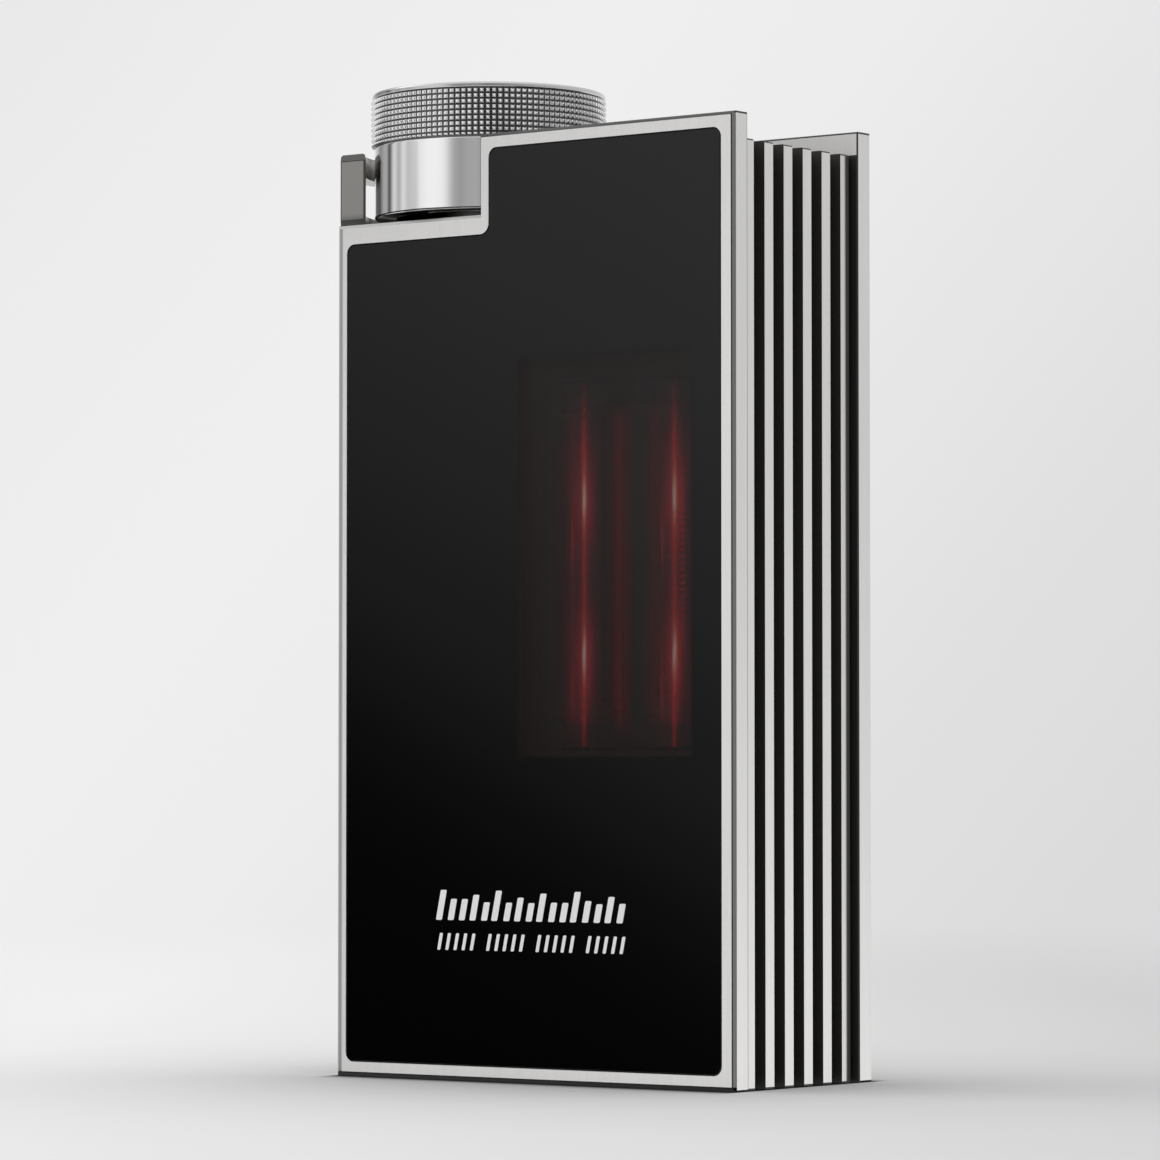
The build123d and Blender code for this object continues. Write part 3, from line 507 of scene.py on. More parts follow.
def bulb_glass(name, side, x0):
    """Clear bulb; its front carries a painted glow of the heater's light, a soft red haze with fine upright streaks."""
    m, w, p = material(name)
    co = w.object_co()
    x, y, z = w.xyz(co)
    g = w.noise(co, 250.0, 3.0, 0.5)
    w.put(p.inputs["Base Color"], w.mix(g, (0.90, 0.92, 0.92), (0.97, 0.98, 0.98)))
    w.put(p.inputs["Roughness"], w.math("MULTIPLY", g, 0.06))
    p.inputs["IOR"].default_value = 1.46
    p.inputs["Alpha"].default_value = 0.10
    # place across the tube at the depth of the heater
    off = w.math("ADD", w.math("SUBTRACT", x, x0 - (0.20 if side == "left" else 0.15) * MM), w.math("MULTIPLY", w.math("SUBTRACT", y, TY), 0.755))
    fine = w.noise(w.scaled(co, (1.0, 1.0, 0.022)), 3600.0, 3.0, 0.6)
    grit = w.math("ADD", w.math("MULTIPLY", fine, 1.3), 0.35)
    run = run_zone(w, z)
    hot = hot_zones(w, z, 3.1 * MM, -0.3 * MM)
    glow = w.math("MULTIPLY", w.math("MULTIPLY", bell(w, off, -0.05 * MM, 0.78 * MM), hot), 0.165)
    glow = w.math("ADD", glow, w.math("MULTIPLY", w.math("MULTIPLY", bell(w, off, 0.0, 0.30 * MM), run), 0.15))
    glow = w.math("ADD", glow, w.math("MULTIPLY", w.math("MULTIPLY", bell(w, off, -0.65 * MM, 0.85 * MM), run), 0.040))
    glow = w.math("ADD", glow, w.math("MULTIPLY", w.math("MULTIPLY", bell(w, off, 0.95 * MM, 0.35 * MM), run), 0.016))
    long = w.math("MULTIPLY", w.smooth(z, 22.5 * MM, 25.5 * MM), w.smooth(z, 44.3 * MM, 46.2 * MM, 1.0, 0.0))
    if side == "left":
        bands = ((-1.15, 0.30, 0.026), (3.15, 0.60, 0.085), (1.9, 0.25, 0.008))
    else:
        bands = ((-1.70, 0.45, 0.034), (-3.95, 0.30, 0.075), (1.6, 0.3, 0.012))
    for c, wd, amp in bands:
        glow = w.math("ADD", glow, w.math("MULTIPLY", w.math("MULTIPLY", bell(w, off, c * MM, wd * MM), long), amp))
    pink = w.math("ADD", bell(w, z, 36.6 * MM, 1.8 * MM), bell(w, z, 26.0 * MM, 1.7 * MM))
    glow = w.math("ADD", glow, w.math("MULTIPLY", w.math("MULTIPLY", bell(w, off, -1.02 * MM, 0.11 * MM), pink), 0.11))
    if side == "right":
        # painted glints of light caught on the turns of the winding
        turn = w.math("ADD", w.math("MULTIPLY", w.math("SINE", w.math("MULTIPLY", z, 2 * math.pi / (0.44 * MM))), 0.5), 0.5)
        reach = w.math("MULTIPLY", w.smooth(z, 28.5 * MM, 31 * MM), w.smooth(z, 40.5 * MM, 43 * MM, 1.0, 0.0))
        glow = w.math("ADD", glow, w.math("MULTIPLY", w.math("MULTIPLY", w.math("MULTIPLY", bell(w, off, 0.66 * MM, 0.19 * MM), turn), reach), 0.22))
    glow = w.math("MULTIPLY", glow, grit)
    front = w.math("LESS_THAN", y, TY - 0.05 * MM)
    outer = w.math("GREATER_THAN", w.dot(w.add("ShaderNodeNewGeometry").outputs["True Normal"], Vector((0.0, -1.0, 0.0))), 0.0)
    e = w.math("MULTIPLY", w.math("MULTIPLY", glow, front), w.math("MULTIPLY", outer, 10.0))
    pale = both(w, bell(w, off, 0.0, 0.17 * MM), hot_zones(w, z, 1.5 * MM))
    w.put(p.inputs["Emission Color"], w.mix(pale, (1.0, 0.035, 0.058), (1.0, 0.62, 0.50)))
    w.put(p.inputs["Emission Strength"], w.math("MULTIPLY", e, w.math("ADD", 1.0, w.math("MULTIPLY", pale, 0.25))))
    return m


RED = (1.0, 0.035, 0.055, 1.0)


def tube_metal(name, x0):
    """Electrode metal with the heater's red light painted on as a glow, strongest beside the hot zones."""
    m, w, p = material(name)
    co = w.object_co()
    x, y, z = w.xyz(co)
    g = w.noise(co, 4000.0, 3.0, 0.6)
    lines = w.noise(w.scaled(co, (1.0, 1.0, 0.03)), 4200.0, 2.0, 0.6)
    mica = w.math("ADD", w.math("MULTIPLY", w.math("GREATER_THAN", z, 24.9 * MM), w.math("LESS_THAN", z, 25.25 * MM)),
                  w.math("MULTIPLY", w.math("GREATER_THAN", z, 45.75 * MM), w.math("LESS_THAN", z, 46.1 * MM)), clamp=True)
    w.put(p.inputs["Base Color"], w.mix(mica, w.mix(g, (0.07, 0.058, 0.054), (0.13, 0.108, 0.10)), (0.13, 0.11, 0.10)))
    w.put(p.inputs["Metallic"], w.math("MULTIPLY", w.math("SUBTRACT", 1.0, mica), 0.6))
    w.put(p.inputs["Roughness"], w.math("ADD", w.math("MULTIPLY", g, 0.2), 0.38))
    near = bell(w, x, x0, 2.6 * MM)
    e = w.math("MULTIPLY", near, w.math("ADD", w.math("MULTIPLY", hot_zones(w, z, 4.2 * MM), 0.020), w.math("MULTIPLY", run_zone(w, z), 0.020)))
    e = w.math("MULTIPLY", e, w.math("ADD", w.math("MULTIPLY", lines, 1.6), 0.2))
    p.inputs["Emission Color"].default_value = RED
    w.put(p.inputs["Emission Strength"], e)
    w.put(p.inputs["Normal"], w.bump(g, 0.15, 0.00001))
    return m


def heater_metal(name):
    """The heater wire itself: pale at the hot zones, deep red between them."""
    m, w, p = material(name)
    co = w.object_co()
    x, y, z = w.xyz(co)
    core = w.math("MINIMUM", hot_zones(w, z, 1.25 * MM), 1.0)
    ripple = w.noise(co, 1600.0, 3.0, 0.6)
    p.inputs["Base Color"].default_value = rgb(0.08, 0.03, 0.03)
    p.inputs["Roughness"].default_value = 0.5
    w.put(p.inputs["Emission Color"], w.mix(core, (0.33, 0.010, 0.018), (0.40, 0.33, 0.27)))
    w.put(p.inputs["Emission Strength"], w.math("MULTIPLY", w.math("ADD", w.math("MULTIPLY", ripple, 0.5), 0.75), run_zone(w, z)))
    return m


def halo_metal(name, x0):
    """Coated cathode sleeve round the heater: its own red glow, with a painted halo of the heater's light that dies
    away from its axis.
    """
    m, w, p = material(name)
    co = w.object_co()
    x, y, z = w.xyz(co)
    side = bell(w, x, x0 - 0.10 * MM, 0.80 * MM)
    thin = bell(w, x, x0 - 0.05 * MM, 0.34 * MM)
    streak = w.noise(w.scaled(co, (1.0, 1.0, 0.025)), 5200.0, 3.0, 0.65)
    wide = w.math("MULTIPLY", side, w.math("ADD", w.math("MULTIPLY", hot_zones(w, z, 3.0 * MM, -0.3 * MM), 0.05), w.math("MULTIPLY", run_zone(w, z), 0.02)))
    core = w.math("MULTIPLY", thin, w.math("ADD", w.math("MULTIPLY", hot_zones(w, z, 1.9 * MM), 0.14), w.math("MULTIPLY", run_zone(w, z), 0.06)))
    e = w.math("MULTIPLY", w.math("ADD", wide, core), w.math("ADD", w.math("MULTIPLY", streak, 1.7), 0.15))
    p.inputs["Base Color"].default_value = rgb(0.06, 0.045, 0.043)
    p.inputs["Roughness"].default_value = 0.6
    p.inputs["Emission Color"].default_value = RED
    w.put(p.inputs["Emission Strength"], e)
    w.put(p.inputs["Normal"], w.bump(streak, 0.2, 0.00001))
    return m


def rod_metal(name):
    """Bright grid rods: short red reflections painted as a glow below each hot zone."""
    m, w, p = material(name)
    co = w.object_co()
    x, y, z = w.xyz(co)
    g = w.noise(co, 3000.0, 2.0, 0.5)
    refl = w.math("ADD", bell(w, z, 36.5 * MM, 1.9 * MM), bell(w, z, 26.6 * MM, 1.7 * MM))
    w.put(p.inputs["Base Color"], w.mix(g, (0.16, 0.13, 0.12), (0.24, 0.20, 0.19)))
    p.inputs["Metallic"].default_value = 0.8
    p.inputs["Roughness"].default_value = 0.3
    p.inputs["Emission Color"].default_value = (1.0, 0.06, 0.08, 1.0)
    w.put(p.inputs["Emission Strength"], w.math("MULTIPLY", refl, w.math("ADD", w.math("MULTIPLY", g, 0.1), 0.08)))
    return m


getter_m, w, p = material("getter_mirror")
co = w.object_co()
z = w.xyz(co)[2]
g = w.noise(co, 500.0, 3.0, 0.5)
p.inputs["Metallic"].default_value = 1.0
w.put(p.inputs["Base Color"], w.mix(g, (0.10, 0.085, 0.075), (0.22, 0.20, 0.18)))
p.inputs["Roughness"].default_value = 0.18


# ------------------------------------------------------------------ mesh helpers
def new_piece(name, verts, faces, m, body, replaces=(), smooth_angle=None, mats=None):
    me = bpy.data.meshes.new(name)
    me.from_pydata([tuple(v) for v in verts], [], faces)
    me.validate(clean_customdata=False)
    bm = bmesh.new()
    bm.from_mesh(me)
    bmesh.ops.recalc_face_normals(bm, faces=bm.faces)
    bm.to_mesh(me)
    bm.free()
    if smooth_angle is not None:
        for f in me.polygons:
            f.use_smooth = True
        me.set_sharp_from_angle(angle=math.radians(smooth_angle))
    me.materials.append(m)
    o = bpy.data.objects.new(name, me)
    scene.collection.objects.link(o)
    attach(o, body)
    if replaces:
        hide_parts(*replaces)
    return o


def lathe(profile, cx, cy, seg, closed=True):
    """Ring mesh from (r, z) points in millimetres, turned about a vertical axis. Points with r = 0 become poles."""
    verts, faces, rings = [], [], []
    for r, z in profile:
        if r < 1e-9:
            verts.append((cx * MM, cy * MM, z * MM))
            rings.append([len(verts) - 1])
        else:
            base = len(verts)
            for i in range(seg):
                a = 2 * math.pi * i / seg
                verts.append(((cx + r * math.cos(a)) * MM, (cy + r * math.sin(a)) * MM, z * MM))
            rings.append(list(range(base, base + seg)))
    pairs = list(zip(rings[:-1], rings[1:]))
    if closed:
        pairs.append((rings[-1], rings[0]))
    for a, b in pairs:
        if len(a) == 1 and len(b) == 1:
            continue
        for i in range(seg):
            j = (i + 1) % seg
            if len(a) == 1:
                faces.append((a[0], b[i], b[j]))
            elif len(b) == 1:
                faces.append((a[i], b[0], a[j]))
            else:
                faces.append((a[i], b[i], b[j], a[j]))
    return verts, faces


KX, KY = -9.81, 0.0

# ------------------------------------------------------------------ knurled cap of the dial
COLS, ROW, ROWS, DEPTH = 120, 0.38, 9, 0.19
U = (0.07, 0.20, 0.34, 0.50, 0.66, 0.80, 0.93)
HU = (0.0, 0.55, 0.88, 1.0, 0.88, 0.55, 0.0)
ZTOP = 67.95                              # centre line of the uppermost groove
zs = [(ZTOP, 0.0)]
for k in range(ROWS):
    z0 = ZTOP - (k + 1) * ROW
    for u, h in zip(reversed(U), reversed(HU)):
        zs.append((z0 + u * ROW, h))
zs = [(z, h) for z, h in zs if z > 64.70]
zs.append((64.68, 0.0))
R0 = 8.25
cols = []
for c in range(COLS):
    for u, h in zip(U, HU):
        cols.append(((c + u) / COLS * 2 * math.pi, h))
nseg = len(cols)
verts, faces, rings = [], [], []


def ring(z, radius_of):
    base = len(verts)
    for a, h in cols:
        r = radius_of(h)
        verts.append(((KX + r * math.cos(a)) * MM, (KY + r * math.sin(a)) * MM, z * MM))
    rings.append(list(range(base, base + nseg)))


for r, z in ((6.66, 68.35), (8.03, 68.35), (8.09, 68.33), (8.14, 68.28), (8.17, 68.20), (8.185, 68.03), (8.17, 68.00), (8.11, 67.98)):
    ring(z, lambda h, r=r: r)
for z, hz in zs:
    ring(z, lambda h, hz=hz: R0 - DEPTH * (1.0 - min(h, hz)))
for r, z in ((8.04, 64.66), (8.03, 64.60), (7.99, 64.55), (6.99, 64.55), (6.99, 65.48), (3.4, 65.48), (3.4, 62.2), (2.41, 62.2), (2.41, 66.88), (0.3, 66.88)):
    ring(z, lambda h, r=r: r)
for a, b in zip(rings[:-1], rings[1:]):
    for i in range(nseg):
        j = (i + 1) % nseg
        faces.append((a[i], b[i], b[j], a[j]))
faces.append(tuple(rings[-1]))
for r, z in ((6.62, 68.33), (6.60, 68.16), (0.3, 68.16)):
    ring(z, lambda h, r=r: r)
faces_top = [(rings[0], rings[-3]), (rings[-3], rings[-2]), (rings[-2], rings[-1])]
for a, b in faces_top:
    for i in range(nseg):
        j = (i + 1) % nseg
        faces.append((a[i], a[j], b[j], b[i]))
faces.append(tuple(reversed(rings[-1])))
cap = new_piece("knob_cap_knurled", verts, faces, knurl_m, "dial", ("knob_cap",))

# ------------------------------------------------------------------ polished skirt
prof = [(6.50, 59.62), (6.52, 59.60), (7.84, 59.60), (7.90, 59.61), (7.95, 59.64), (7.985, 59.68), (8.0, 59.74), (8.0, 59.77), (8.0, 59.82), (8.0, 62.0), (8.0, 64.44), (8.0, 64.50), (7.985, 64.545),
        (6.99, 64.55), (6.97, 64.56), (6.97, 65.42), (6.94, 65.45), (6.53, 65.45), (6.50, 65.42)]
v, f = lathe(prof, KX, KY, 256)
skirt = new_piece("knob_skirt_polished", v, f, chrome, "dial", ("knob_skirt",), 24)

# ------------------------------------------------------------------ snap dome under the dial, which flattens as the dial is pressed; the mesh is built in its resting shape
RD = (2.2 ** 2 + 0.5 ** 2) / (2 * 0.5)
ZC = 52.6 + 0.5 - RD
r_in = math.sqrt(RD ** 2 - (52.602 - ZC + 0.12) ** 2)
prof = [(2.19 * i / 20, ZC + math.sqrt(RD ** 2 - (2.19 * i / 20) ** 2) - 0.001) for i in range(21)] + [(2.19, 52.602)]
prof += [(r_in * i / 16, ZC - 0.12 + math.sqrt(RD ** 2 - (r_in * i / 16) ** 2)) for i in range(16, -1, -1)]
v, f = lathe(prof, KX, KY, 64, closed=False)
snap = new_piece("switch_dome_snap", v, f, steel_m, "housing", ("switch_dome",), 30)
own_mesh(snap)

# ------------------------------------------------------------------ spun disc in the top of the dial
prof = [(0.0, 68.15), (6.52, 68.15), (6.55, 68.17), (6.55, 68.27), (6.51, 68.30)]
r = 6.44
while r > 0.5:
    prof += [(r, 68.30), (r - 0.07, 68.292)]
    r -= 0.14
prof += [(0.42, 68.30), (0.34, 68.27), (0.0, 68.26)]
v, f = lathe(prof, KX, KY, 160, closed=False)
disc = new_piece("knob_top_spun", v, f, spun_m, "dial", ("knob_top_disc",), 20)

# ------------------------------------------------------------------ socket rings in the lower end
for name, x0, ro, ri in (("jack_44", -6.6, 3.9, 2.25), ("jack_35", 6.4, 3.2, 1.8)):
    prof = [(ri + 0.28, 0.10), (ri + 0.34, 0.10)]
    r = ri + 0.42
    while r < ro - 0.34:
        prof += [(r, 0.10), (r + 0.04, 0.112), (r + 0.08, 0.10)]
        r += 0.13
    prof += [(ro - 0.22, 0.10), (ro - 0.06, 0.17), (ro, 0.30), (ro, 2.28), (ro - 0.02, 2.30), (ri + 0.02, 2.30), (ri, 2.28), (ri, 0.38), (ri + 0.08, 0.22)]
    v, f = lathe(prof, x0, 0.0, 128)
    new_piece(name + "_ring_turned", v, f, ring_m, "housing", (name + "_ring",), 28)

# ------------------------------------------------------------------ grid windings, cathode sleeves and heaters
def rod_mesh(paths, radius, S=10):
    """Round rods in millimetres along polylines, closed at both ends."""
    verts, faces = [], []
    for pts in paths:
        b0 = len(verts)
        n = len(pts)
        for t in range(n):
            d = (pts[min(t + 1, n - 1)] - pts[max(t - 1, 0)]).normalized()
            ref = Vector((0, 0, 1)) if abs(d.z) < 0.9 else Vector((1, 0, 0))
            u = d.cross(ref).normalized()
            v2 = d.cross(u).normalized()
            for i in range(S):
                a = 2 * math.pi * i / S
                q = pts[t] + radius * (math.cos(a) * u + math.sin(a) * v2)
                verts.append(tuple(c * MM for c in q))
        for t in range(n - 1):
            for i in range(S):
                k = (i + 1) % S
                faces.append((b0 + t * S + i, b0 + t * S + k, b0 + (t + 1) * S + k, b0 + (t + 1) * S + i))
        faces.append(tuple(b0 + i for i in range(S)))
        faces.append(tuple(b0 + (n - 1) * S + i for i in range(S)))
    return verts, faces


rod_m = rod_metal("grid_rod_metal")
for side, x0 in TX.items():
    tm = tube_metal("tube_metal_" + side, x0)
    hm = heater_metal("hot_filament_" + side)
    sm = halo_metal("cathode_" + side, x0)
    dress(f"tube_{side}_electrodes", tm)
    dress(f"tube_{side}_bulb", bulb_glass("tube_glass_" + side, side, x0))
    X, Y = x0 / MM, TY / MM
    # heater: a fine wire, slightly kinked as drawn wire is
    ph = 0.6 if side == "left" else 1.9
    pts = []
    zz = 22.66
    while zz <= 47.3:
        pts.append(Vector((X - (0.20 if side == "left" else 0.15) + 0.03 * math.sin(zz * 2.1 + ph), Y - 0.05 + 0.02 * math.cos(zz * 1.7), zz)))
        zz += 0.22
    v, f = rod_mesh([pts], 0.105)
    new_piece(f"tube_{side}_heater_wire", v, f, hm, "housing", (f"tube_{side}_filament",), 40)
    # cathode sleeve: a flat oval half shell behind the heater, open to the front
    verts, faces = [], []
    NZ, NA = 60, 22
    A, B = 1.12, 0.26
    for j in range(NZ + 1):
        zz = 25.28 + (45.72 - 25.28) * j / NZ
        for rr, off in ((1.0, 0.05), (1.0, 0.0)):
            for i in range(NA + 1):
                a = math.pi * i / NA
                verts.append(((X + A * rr * math.cos(a)) * MM, (Y + 0.10 + off + B * rr * math.sin(a)) * MM, zz * MM))
    W2 = 2 * (NA + 1)
    for j in range(NZ):
        for i in range(NA):
            a0, b0 = j * W2 + i, (j + 1) * W2 + i
            faces.append((a0, a0 + 1, b0 + 1, b0))
            a1, b1 = a0 + NA + 1, b0 + NA + 1
            faces.append((a1, b1, b1 + 1, a1 + 1))
        for i in (0, NA):
            a0, b0 = j * W2 + i, (j + 1) * W2 + i
            faces.append((a0, b0, b0 + NA + 1, a0 + NA + 1))
    for j in (0, NZ):
        for i in range(NA):
            a0 = j * W2 + i
            faces.append((a0, a0 + NA + 1, a0 + NA + 2, a0 + 1))
    new_piece(f"tube_{side}_cathode_sleeve", verts, faces, sm, "housing", (), 50)
    # control grid: an oval helix of fine wire, half a millimetre pitch, on two rods
    turns, per = 38, 40
    n = turns * per
    path = []
    for t in range(n + 1):
        a = 2 * math.pi * t / per
        path.append(Vector((X + 1.30 * math.cos(a), Y + 0.02 + 0.62 * math.sin(a), 26.2 + 0.49 * t / per)))
    v, f = rod_mesh([path], 0.04, 6)
    new_piece(f"tube_{side}_grid_winding", v, f, tm, "housing", (), 60)
    rods = [[Vector((X + sx * 1.22, Y, 24.6 + 0.5 * k)) for k in range(44)] for sx in (-1, 1)]
    v, f = rod_mesh(rods, 0.075, 10)
    new_piece(f"tube_{side}_grid_rods", v, f, rod_m, "housing", (), 40)
    # getter mirror: a thin patch inside the dome of the bulb
    verts, faces = [], []
    NR, NS = 6, 32
    for off in (0.0, -0.03):
        for j in range(NR + 1):
            q = j / NR
            for i in range(NS):
                a = 2 * math.pi * i / NS
                verts.append(((X + 2.3 * q * math.cos(a)) * MM, (Y + 1.15 * q * math.sin(a)) * MM, (47.86 - 0.42 * q ** 4 + off) * MM))
    L = (NR + 1) * NS
    for j in range(NR):
        for i in range(NS):
            k = (i + 1) % NS
            a0, a1, b0, b1 = j * NS + i, j * NS + k, (j + 1) * NS + i, (j + 1) * NS + k
            faces.append((a0, a1, b1, b0))
            faces.append((L + a0, L + b0, L + b1, L + a1))
    for i in range(NS):
        k = (i + 1) % NS
        a0, a1 = NR * NS + i, NR * NS + k
        faces.append((a0, a1, L + a1, L + a0))
    new_piece(f"tube_{side}_getter", verts, faces, getter_m, "housing", (), 50)

# ------------------------------------------------------------------ generic marks printed on the glass
ink_m, w, p = material("white_ink")
co = w.object_co()
g = w.noise(co, 9000.0, 3.0, 0.6)
w.put(p.inputs["Base Color"], w.mix(g, (0.93, 0.93, 0.93), (1.0, 1.0, 1.0)))
w.put(p.inputs["Roughness"], w.math("ADD", w.math("MULTIPLY", g, 0.15), 0.42))
w.put(p.inputs["Normal"], w.bump(g, 0.2, 0.000004))


def slanted_bar(xc, zc, wd, ht, slant, rad, y0=-8.056, y1=-8.0502):
    """Outline of one printed bar with rounded corners, leaning to the right."""
    pts = []
    for sx, sz, a0 in ((1, 1, 0), (-1, 1, 90), (-1, -1, 180), (1, -1, 270)):
        for k in range(6):
            a = math.radians(a0 + 90 * k / 5)
            px = sx * (wd / 2 - rad) + rad * math.cos(a)
            pz = sz * (ht / 2 - rad) + rad * math.sin(a)
            pts.append((xc + px + slant * pz, zc + pz))
    n = len(pts)
    vs = [(a * MM, y0 * MM, b * MM) for a, b in pts] + [(a * MM, y1 * MM, b * MM) for a, b in pts]
    fs = [tuple(range(n)), tuple(reversed(range(n, 2 * n)))]
    fs += [(i, (i + 1) % n, n + (i + 1) % n, n + i) for i in range(n)]
    return vs, fs


verts, faces = [], []


def print_bar(*a):
    vs, fs = slanted_bar(*a)
    b = len(verts)
    verts.extend(vs)
    faces.extend(tuple(b + i for i in f) for f in fs)


LEVELS = (2.05, 1.45, 1.45, 1.75, 1.25, 2.05, 1.25, 1.6, 1.25, 1.9, 1.3, 1.3, 2.05, 1.45, 1.25, 1.75, 1.3)
for i, h in enumerate(LEVELS):
    print_bar(0.05 - 7.64 + 0.955 * i, 10.88 + h / 2, 0.52, h, 0.21, 0.10)
for i in range(23):
    if i % 6 != 5:
        print_bar(0.05 - 7.75 + 0.705 * i, 9.42, 0.27, 1.15, 0.21, 0.07)
new_piece("printed_marks", verts, faces, ink_m, "housing", ())

# ------------------------------------------------------------------ carried-over CAD pieces
dress("front_frame", satin)
dress("back_plate", satin)
dress("front_glass", glass_m)
dress("glass_adhesive", tape_m)
dress("chassis", chassis_m)
dress("knob_guard", guard_m)
dress("guard_screws", screw_m)
dress("plate_screws", screw_m)
dress("knob_insert", brass_m)
dress("encoder_shaft", steel_m)
dress("encoder_body", steel_m)
dress("encoder_nut", nickel_m)
dress("switch_plunger", white_m)
dress("knob_board", board_m)
dress("main_board", board_m)
dress("board_screws", steel_m)
dress("board_flex", flex_m)
dress("tube_leads", lead_m)
dress("tube_cradle", silicone_m)
dress("jack_44_body", plastic_m)
dress("jack_44_contacts", gold_m)
dress("jack_35_body", plastic_m)
dress("jack_35_contacts", gold_m)
dress("usb_c_shell", shell_m)
dress("usb_c_tongue", plastic_m)
for n in ("dac_chip", "usb_bridge_chip", "controller_chip", "opamp_chips"):
    dress(n, epoxy_m)
dress("clock_oscillators", steel_m)
dress("coupling_capacitors", film_m)
dress("tantalum_capacitors", tant_m)
dress("power_inductors", ferrite_m)

# ------------------------------------------------------------------ stage: pale floor that melts into the surround
floor_m, w, p = material("pale_floor")
out = [n for n in w.n if n.type == "OUTPUT_MATERIAL"][0]
co = w.object_co()
x, y, z = w.xyz(co)
rad = w.vmath("LENGTH", co, out="Value")
right = Vector((math.cos(YAW), math.sin(YAW), 0.0))
fwd = Vector((-math.sin(YAW), math.cos(YAW), 0.0))
lat = w.dot(co, right)
g = w.noise(co, 4000.0, 2.0, 0.5)
# painted light and shade: the floor is painted darker along the direction called right, and a soft contact shadow and a
# dark line at the foot are painted round the base
tone = w.lin(lat, -0.045, 0.05, 0.955, 0.70)
fx = w.math("MAXIMUM", w.math("SUBTRACT", w.math("ABSOLUTE", x), 16.95 * MM), 0.0)
fy = w.math("MAXIMUM", w.math("SUBTRACT", w.math("ABSOLUTE", y), 8.05 * MM), 0.0)
near = w.math("SQRT", w.math("ADD", w.math("MULTIPLY", fx, fx), w.math("MULTIPLY", fy, fy)))
painted_contact_shadow = w.ramp(w.lin(near, 0.0, 60 * MM), [(0.0, .78), (0.045, .80), (0.10, .86), (0.20, .92), (0.35, .965), (0.7, 1.0), (1.0, 1.0)])
fx3 = w.math("MULTIPLY", fx, 6.0)
tight = w.math("SQRT", w.math("ADD", w.math("MULTIPLY", fx3, fx3), w.math("MULTIPLY", fy, fy)))
painted_foot_shadow = w.ramp(w.lin(tight, 0.0, 3 * MM), [(0.0, .04), (0.10, .08), (0.25, .32), (0.48, .72), (0.78, .94), (1.0, 1.0)])
painted_contact_shadow = w.math("MULTIPLY", painted_contact_shadow, painted_foot_shadow)
tone = w.math("MULTIPLY", tone, painted_contact_shadow)
tone = w.math("ADD", tone, w.math("MULTIPLY", w.math("SUBTRACT", g, 0.5), 0.01))
comb = w.add("ShaderNodeCombineColor")
for i in range(3):
    w.put(comb.inputs[i], tone)
w.put(p.inputs["Base Color"], comb.outputs[0])
p.inputs["Roughness"].default_value = 0.9
p.inputs["Specular IOR Level"].default_value = 0.0
trans = w.add("ShaderNodeBsdfTransparent")
mixs = w.add("ShaderNodeMixShader")
backface = w.add("ShaderNodeNewGeometry").outputs["Backfacing"]
fade = w.smooth(rad, 0.10, 0.42)
w.put(mixs.inputs[0], w.math("MAXIMUM", fade, backface))
w.l.new(p.outputs[0], mixs.inputs[1])
w.l.new(trans.outputs[0], mixs.inputs[2])
w.l.new(mixs.outputs[0], out.inputs["Surface"])
bm = bmesh.new()
bmesh.ops.create_circle(bm, cap_ends=True, cap_tris=True, segments=64, radius=0.45)
me = bpy.data.meshes.new("floor")
bm.to_mesh(me)
bm.free()
me.materials.append(floor_m)
floor = bpy.data.objects.new("floor", me)
scene.collection.objects.link(floor)
floor.location = (0, 0, -0.00002)
floor.visible_glossy = False

# ------------------------------------------------------------------ studio: a soft surround, bright above and from the front left
world = bpy.data.worlds.new("studio")
scene.world = world
world.use_nodes = True
w = Nodes(world.node_tree)
w.n.clear()
wout = w.add("ShaderNodeOutputWorld")
bg_light = w.add("ShaderNodeBackground")
bg_seen = w.add("ShaderNodeBackground")
mixw = w.add("ShaderNodeMixShader")
lp = w.add("ShaderNodeLightPath")
w.l.new(lp.outputs["Is Camera Ray"], mixw.inputs[0])
w.l.new(bg_light.outputs[0], mixw.inputs[1])
w.l.new(bg_seen.outputs[0], mixw.inputs[2])
w.l.new(mixw.outputs[0], wout.inputs["Surface"])
d = w.add("ShaderNodeTexCoord").outputs["Generated"]
dx, dy, dz = w.xyz(d)
# backdrop: pale, slightly brighter to the left
t = w.math("ADD", w.math("ADD", 1192.0, w.math("MULTIPLY", w.dot(d, right), 5276.0)), w.math("MULTIPLY", dz, -4115.0))
seen = w.ramp(w.lin(t, 0.0, 2000.0), [(0.0, 0.815), (0.22, 0.855), (0.32, 0.865), (0.44, 0.847), (0.56, 0.807), (0.72, 0.752), (0.89, 0.709), (1.0, 0.70)])
w.put(bg_seen.inputs[0], seen)
bg_seen.inputs[1].default_value = 1.0
# light: azimuth table for the lower band, blending to an even bright dome overhead
az = w.math("MULTIPLY", w.math("ARCTAN2", dy, dx), 180.0 / math.pi)
u = w.lin(az, -180.0, 180.0)
TABLE = [(-180, .38), (-177, .36), (-174.5, .14), (-171, .10), (-168, .34), (-164, .68), (-160.5, .62), (-156.5, .45), (-153.5, .46),
         (-150, .69), (-147, .70), (-141.5, .53), (-138, .57), (-133, .79), (-127, .81), (-117, .91), (-108, .92), (-99.5, .87),
         (-95, .72), (-91, .52), (-87, .39), (-81, .325), (-74, .37), (-64, .385), (-53, .24), (-15, .50), (53, .75), (127, .86),
         (150, .60), (166, .24), (176, .38), (180, .38)]


def table_ramp(rows):
    """A colour ramp holds 32 stops at most, so the table fits in one."""
    return w.ramp(u, [((a + 180) / 360.0, v) for a, v in rows])


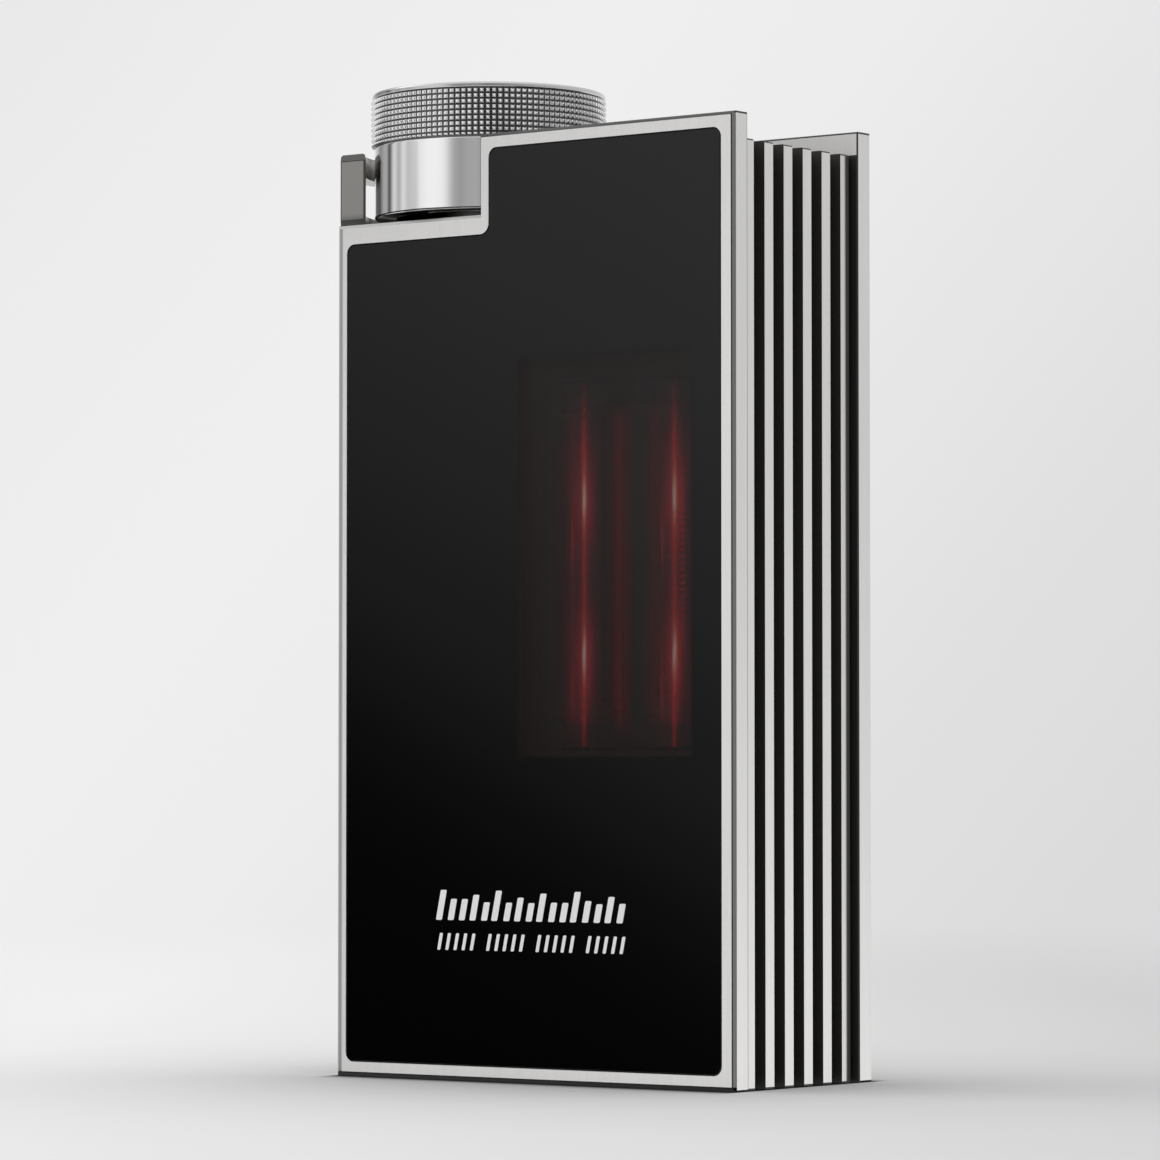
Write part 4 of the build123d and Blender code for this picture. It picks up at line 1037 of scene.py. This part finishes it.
low = table_ramp(TABLE)
elev = w.math("MULTIPLY", w.math("ARCSINE", dz), 180.0 / math.pi)
dome = w.ramp(w.lin(elev, 0.0, 90.0), [(0.0, .72), (0.35, .80), (0.6, .95), (1.0, 1.0)])
# main soft light, high on the left
kdir = Vector((-0.74, -0.22, 0.64)).normalized()
kdist = w.math("SUBTRACT", 1.0, w.dot(d, kdir))
key = w.math("MULTIPLY", w.math("EXPONENT", w.math("MULTIPLY", kdist, -22.0)), 1.9)
comb = w.add("ShaderNodeCombineColor")
for i in range(3):
    w.put(comb.inputs[i], key)
dome = w.mix(1.0, dome, comb.outputs[0], "ADD")
up = w.smooth(elev, 14.0, 46.0)
light = w.mix(up, low, dome)
# below the horizon: the pale floor as polished parts see it
under = w.smooth(elev, -16.0, -4.0, 1.0, 0.0)
sidewise = w.smooth(w.dot(d, Vector((0.60, 0.80, 0.0))), 0.25, 0.90)
ground = w.mix(sidewise, (0.98, 0.98, 0.98), (1.35, 1.35, 1.35))
light = w.mix(under, light, ground)
# a dark flag low at the front left, with a soft slanting upper edge
psi = math.radians(-127.5)
tvec = Vector((-math.sin(psi), math.cos(psi), 0.0))
nvec = Vector((math.cos(psi), math.sin(psi), 0.0))
across = w.math("MULTIPLY", w.dot(d, tvec), 57.3)
slope = w.math("MULTIPLY", w.math("MAXIMUM", w.math("MINIMUM", across, 3.0), -3.0), 0.62)
q = w.math("ADD", elev, slope)
flag = w.ramp(w.lin(q, -4.0, 12.0), [(0.0, .02), (0.10, .035), (0.18, .085), (0.222, .15), (0.2625, .25), (0.306, .36), (0.347, .42), (0.469, .65), (0.569, .80), (0.73, 1.0), (1.0, 1.0)])
sector = w.math("MULTIPLY", w.smooth(w.math("ABSOLUTE", across), 5.0, 12.0, 1.0, 0.0), w.math("GREATER_THAN", w.dot(d, nvec), 0.0))
sector = w.math("MULTIPLY", sector, w.smooth(elev, -9.0, -5.5))
flagged = w.mix(sector, (1.0, 1.0, 1.0), flag)
light = w.mix(1.0, light, flagged, "MULTIPLY")
w.put(bg_light.inputs[0], light)
bg_light.inputs[1].default_value = 1.0
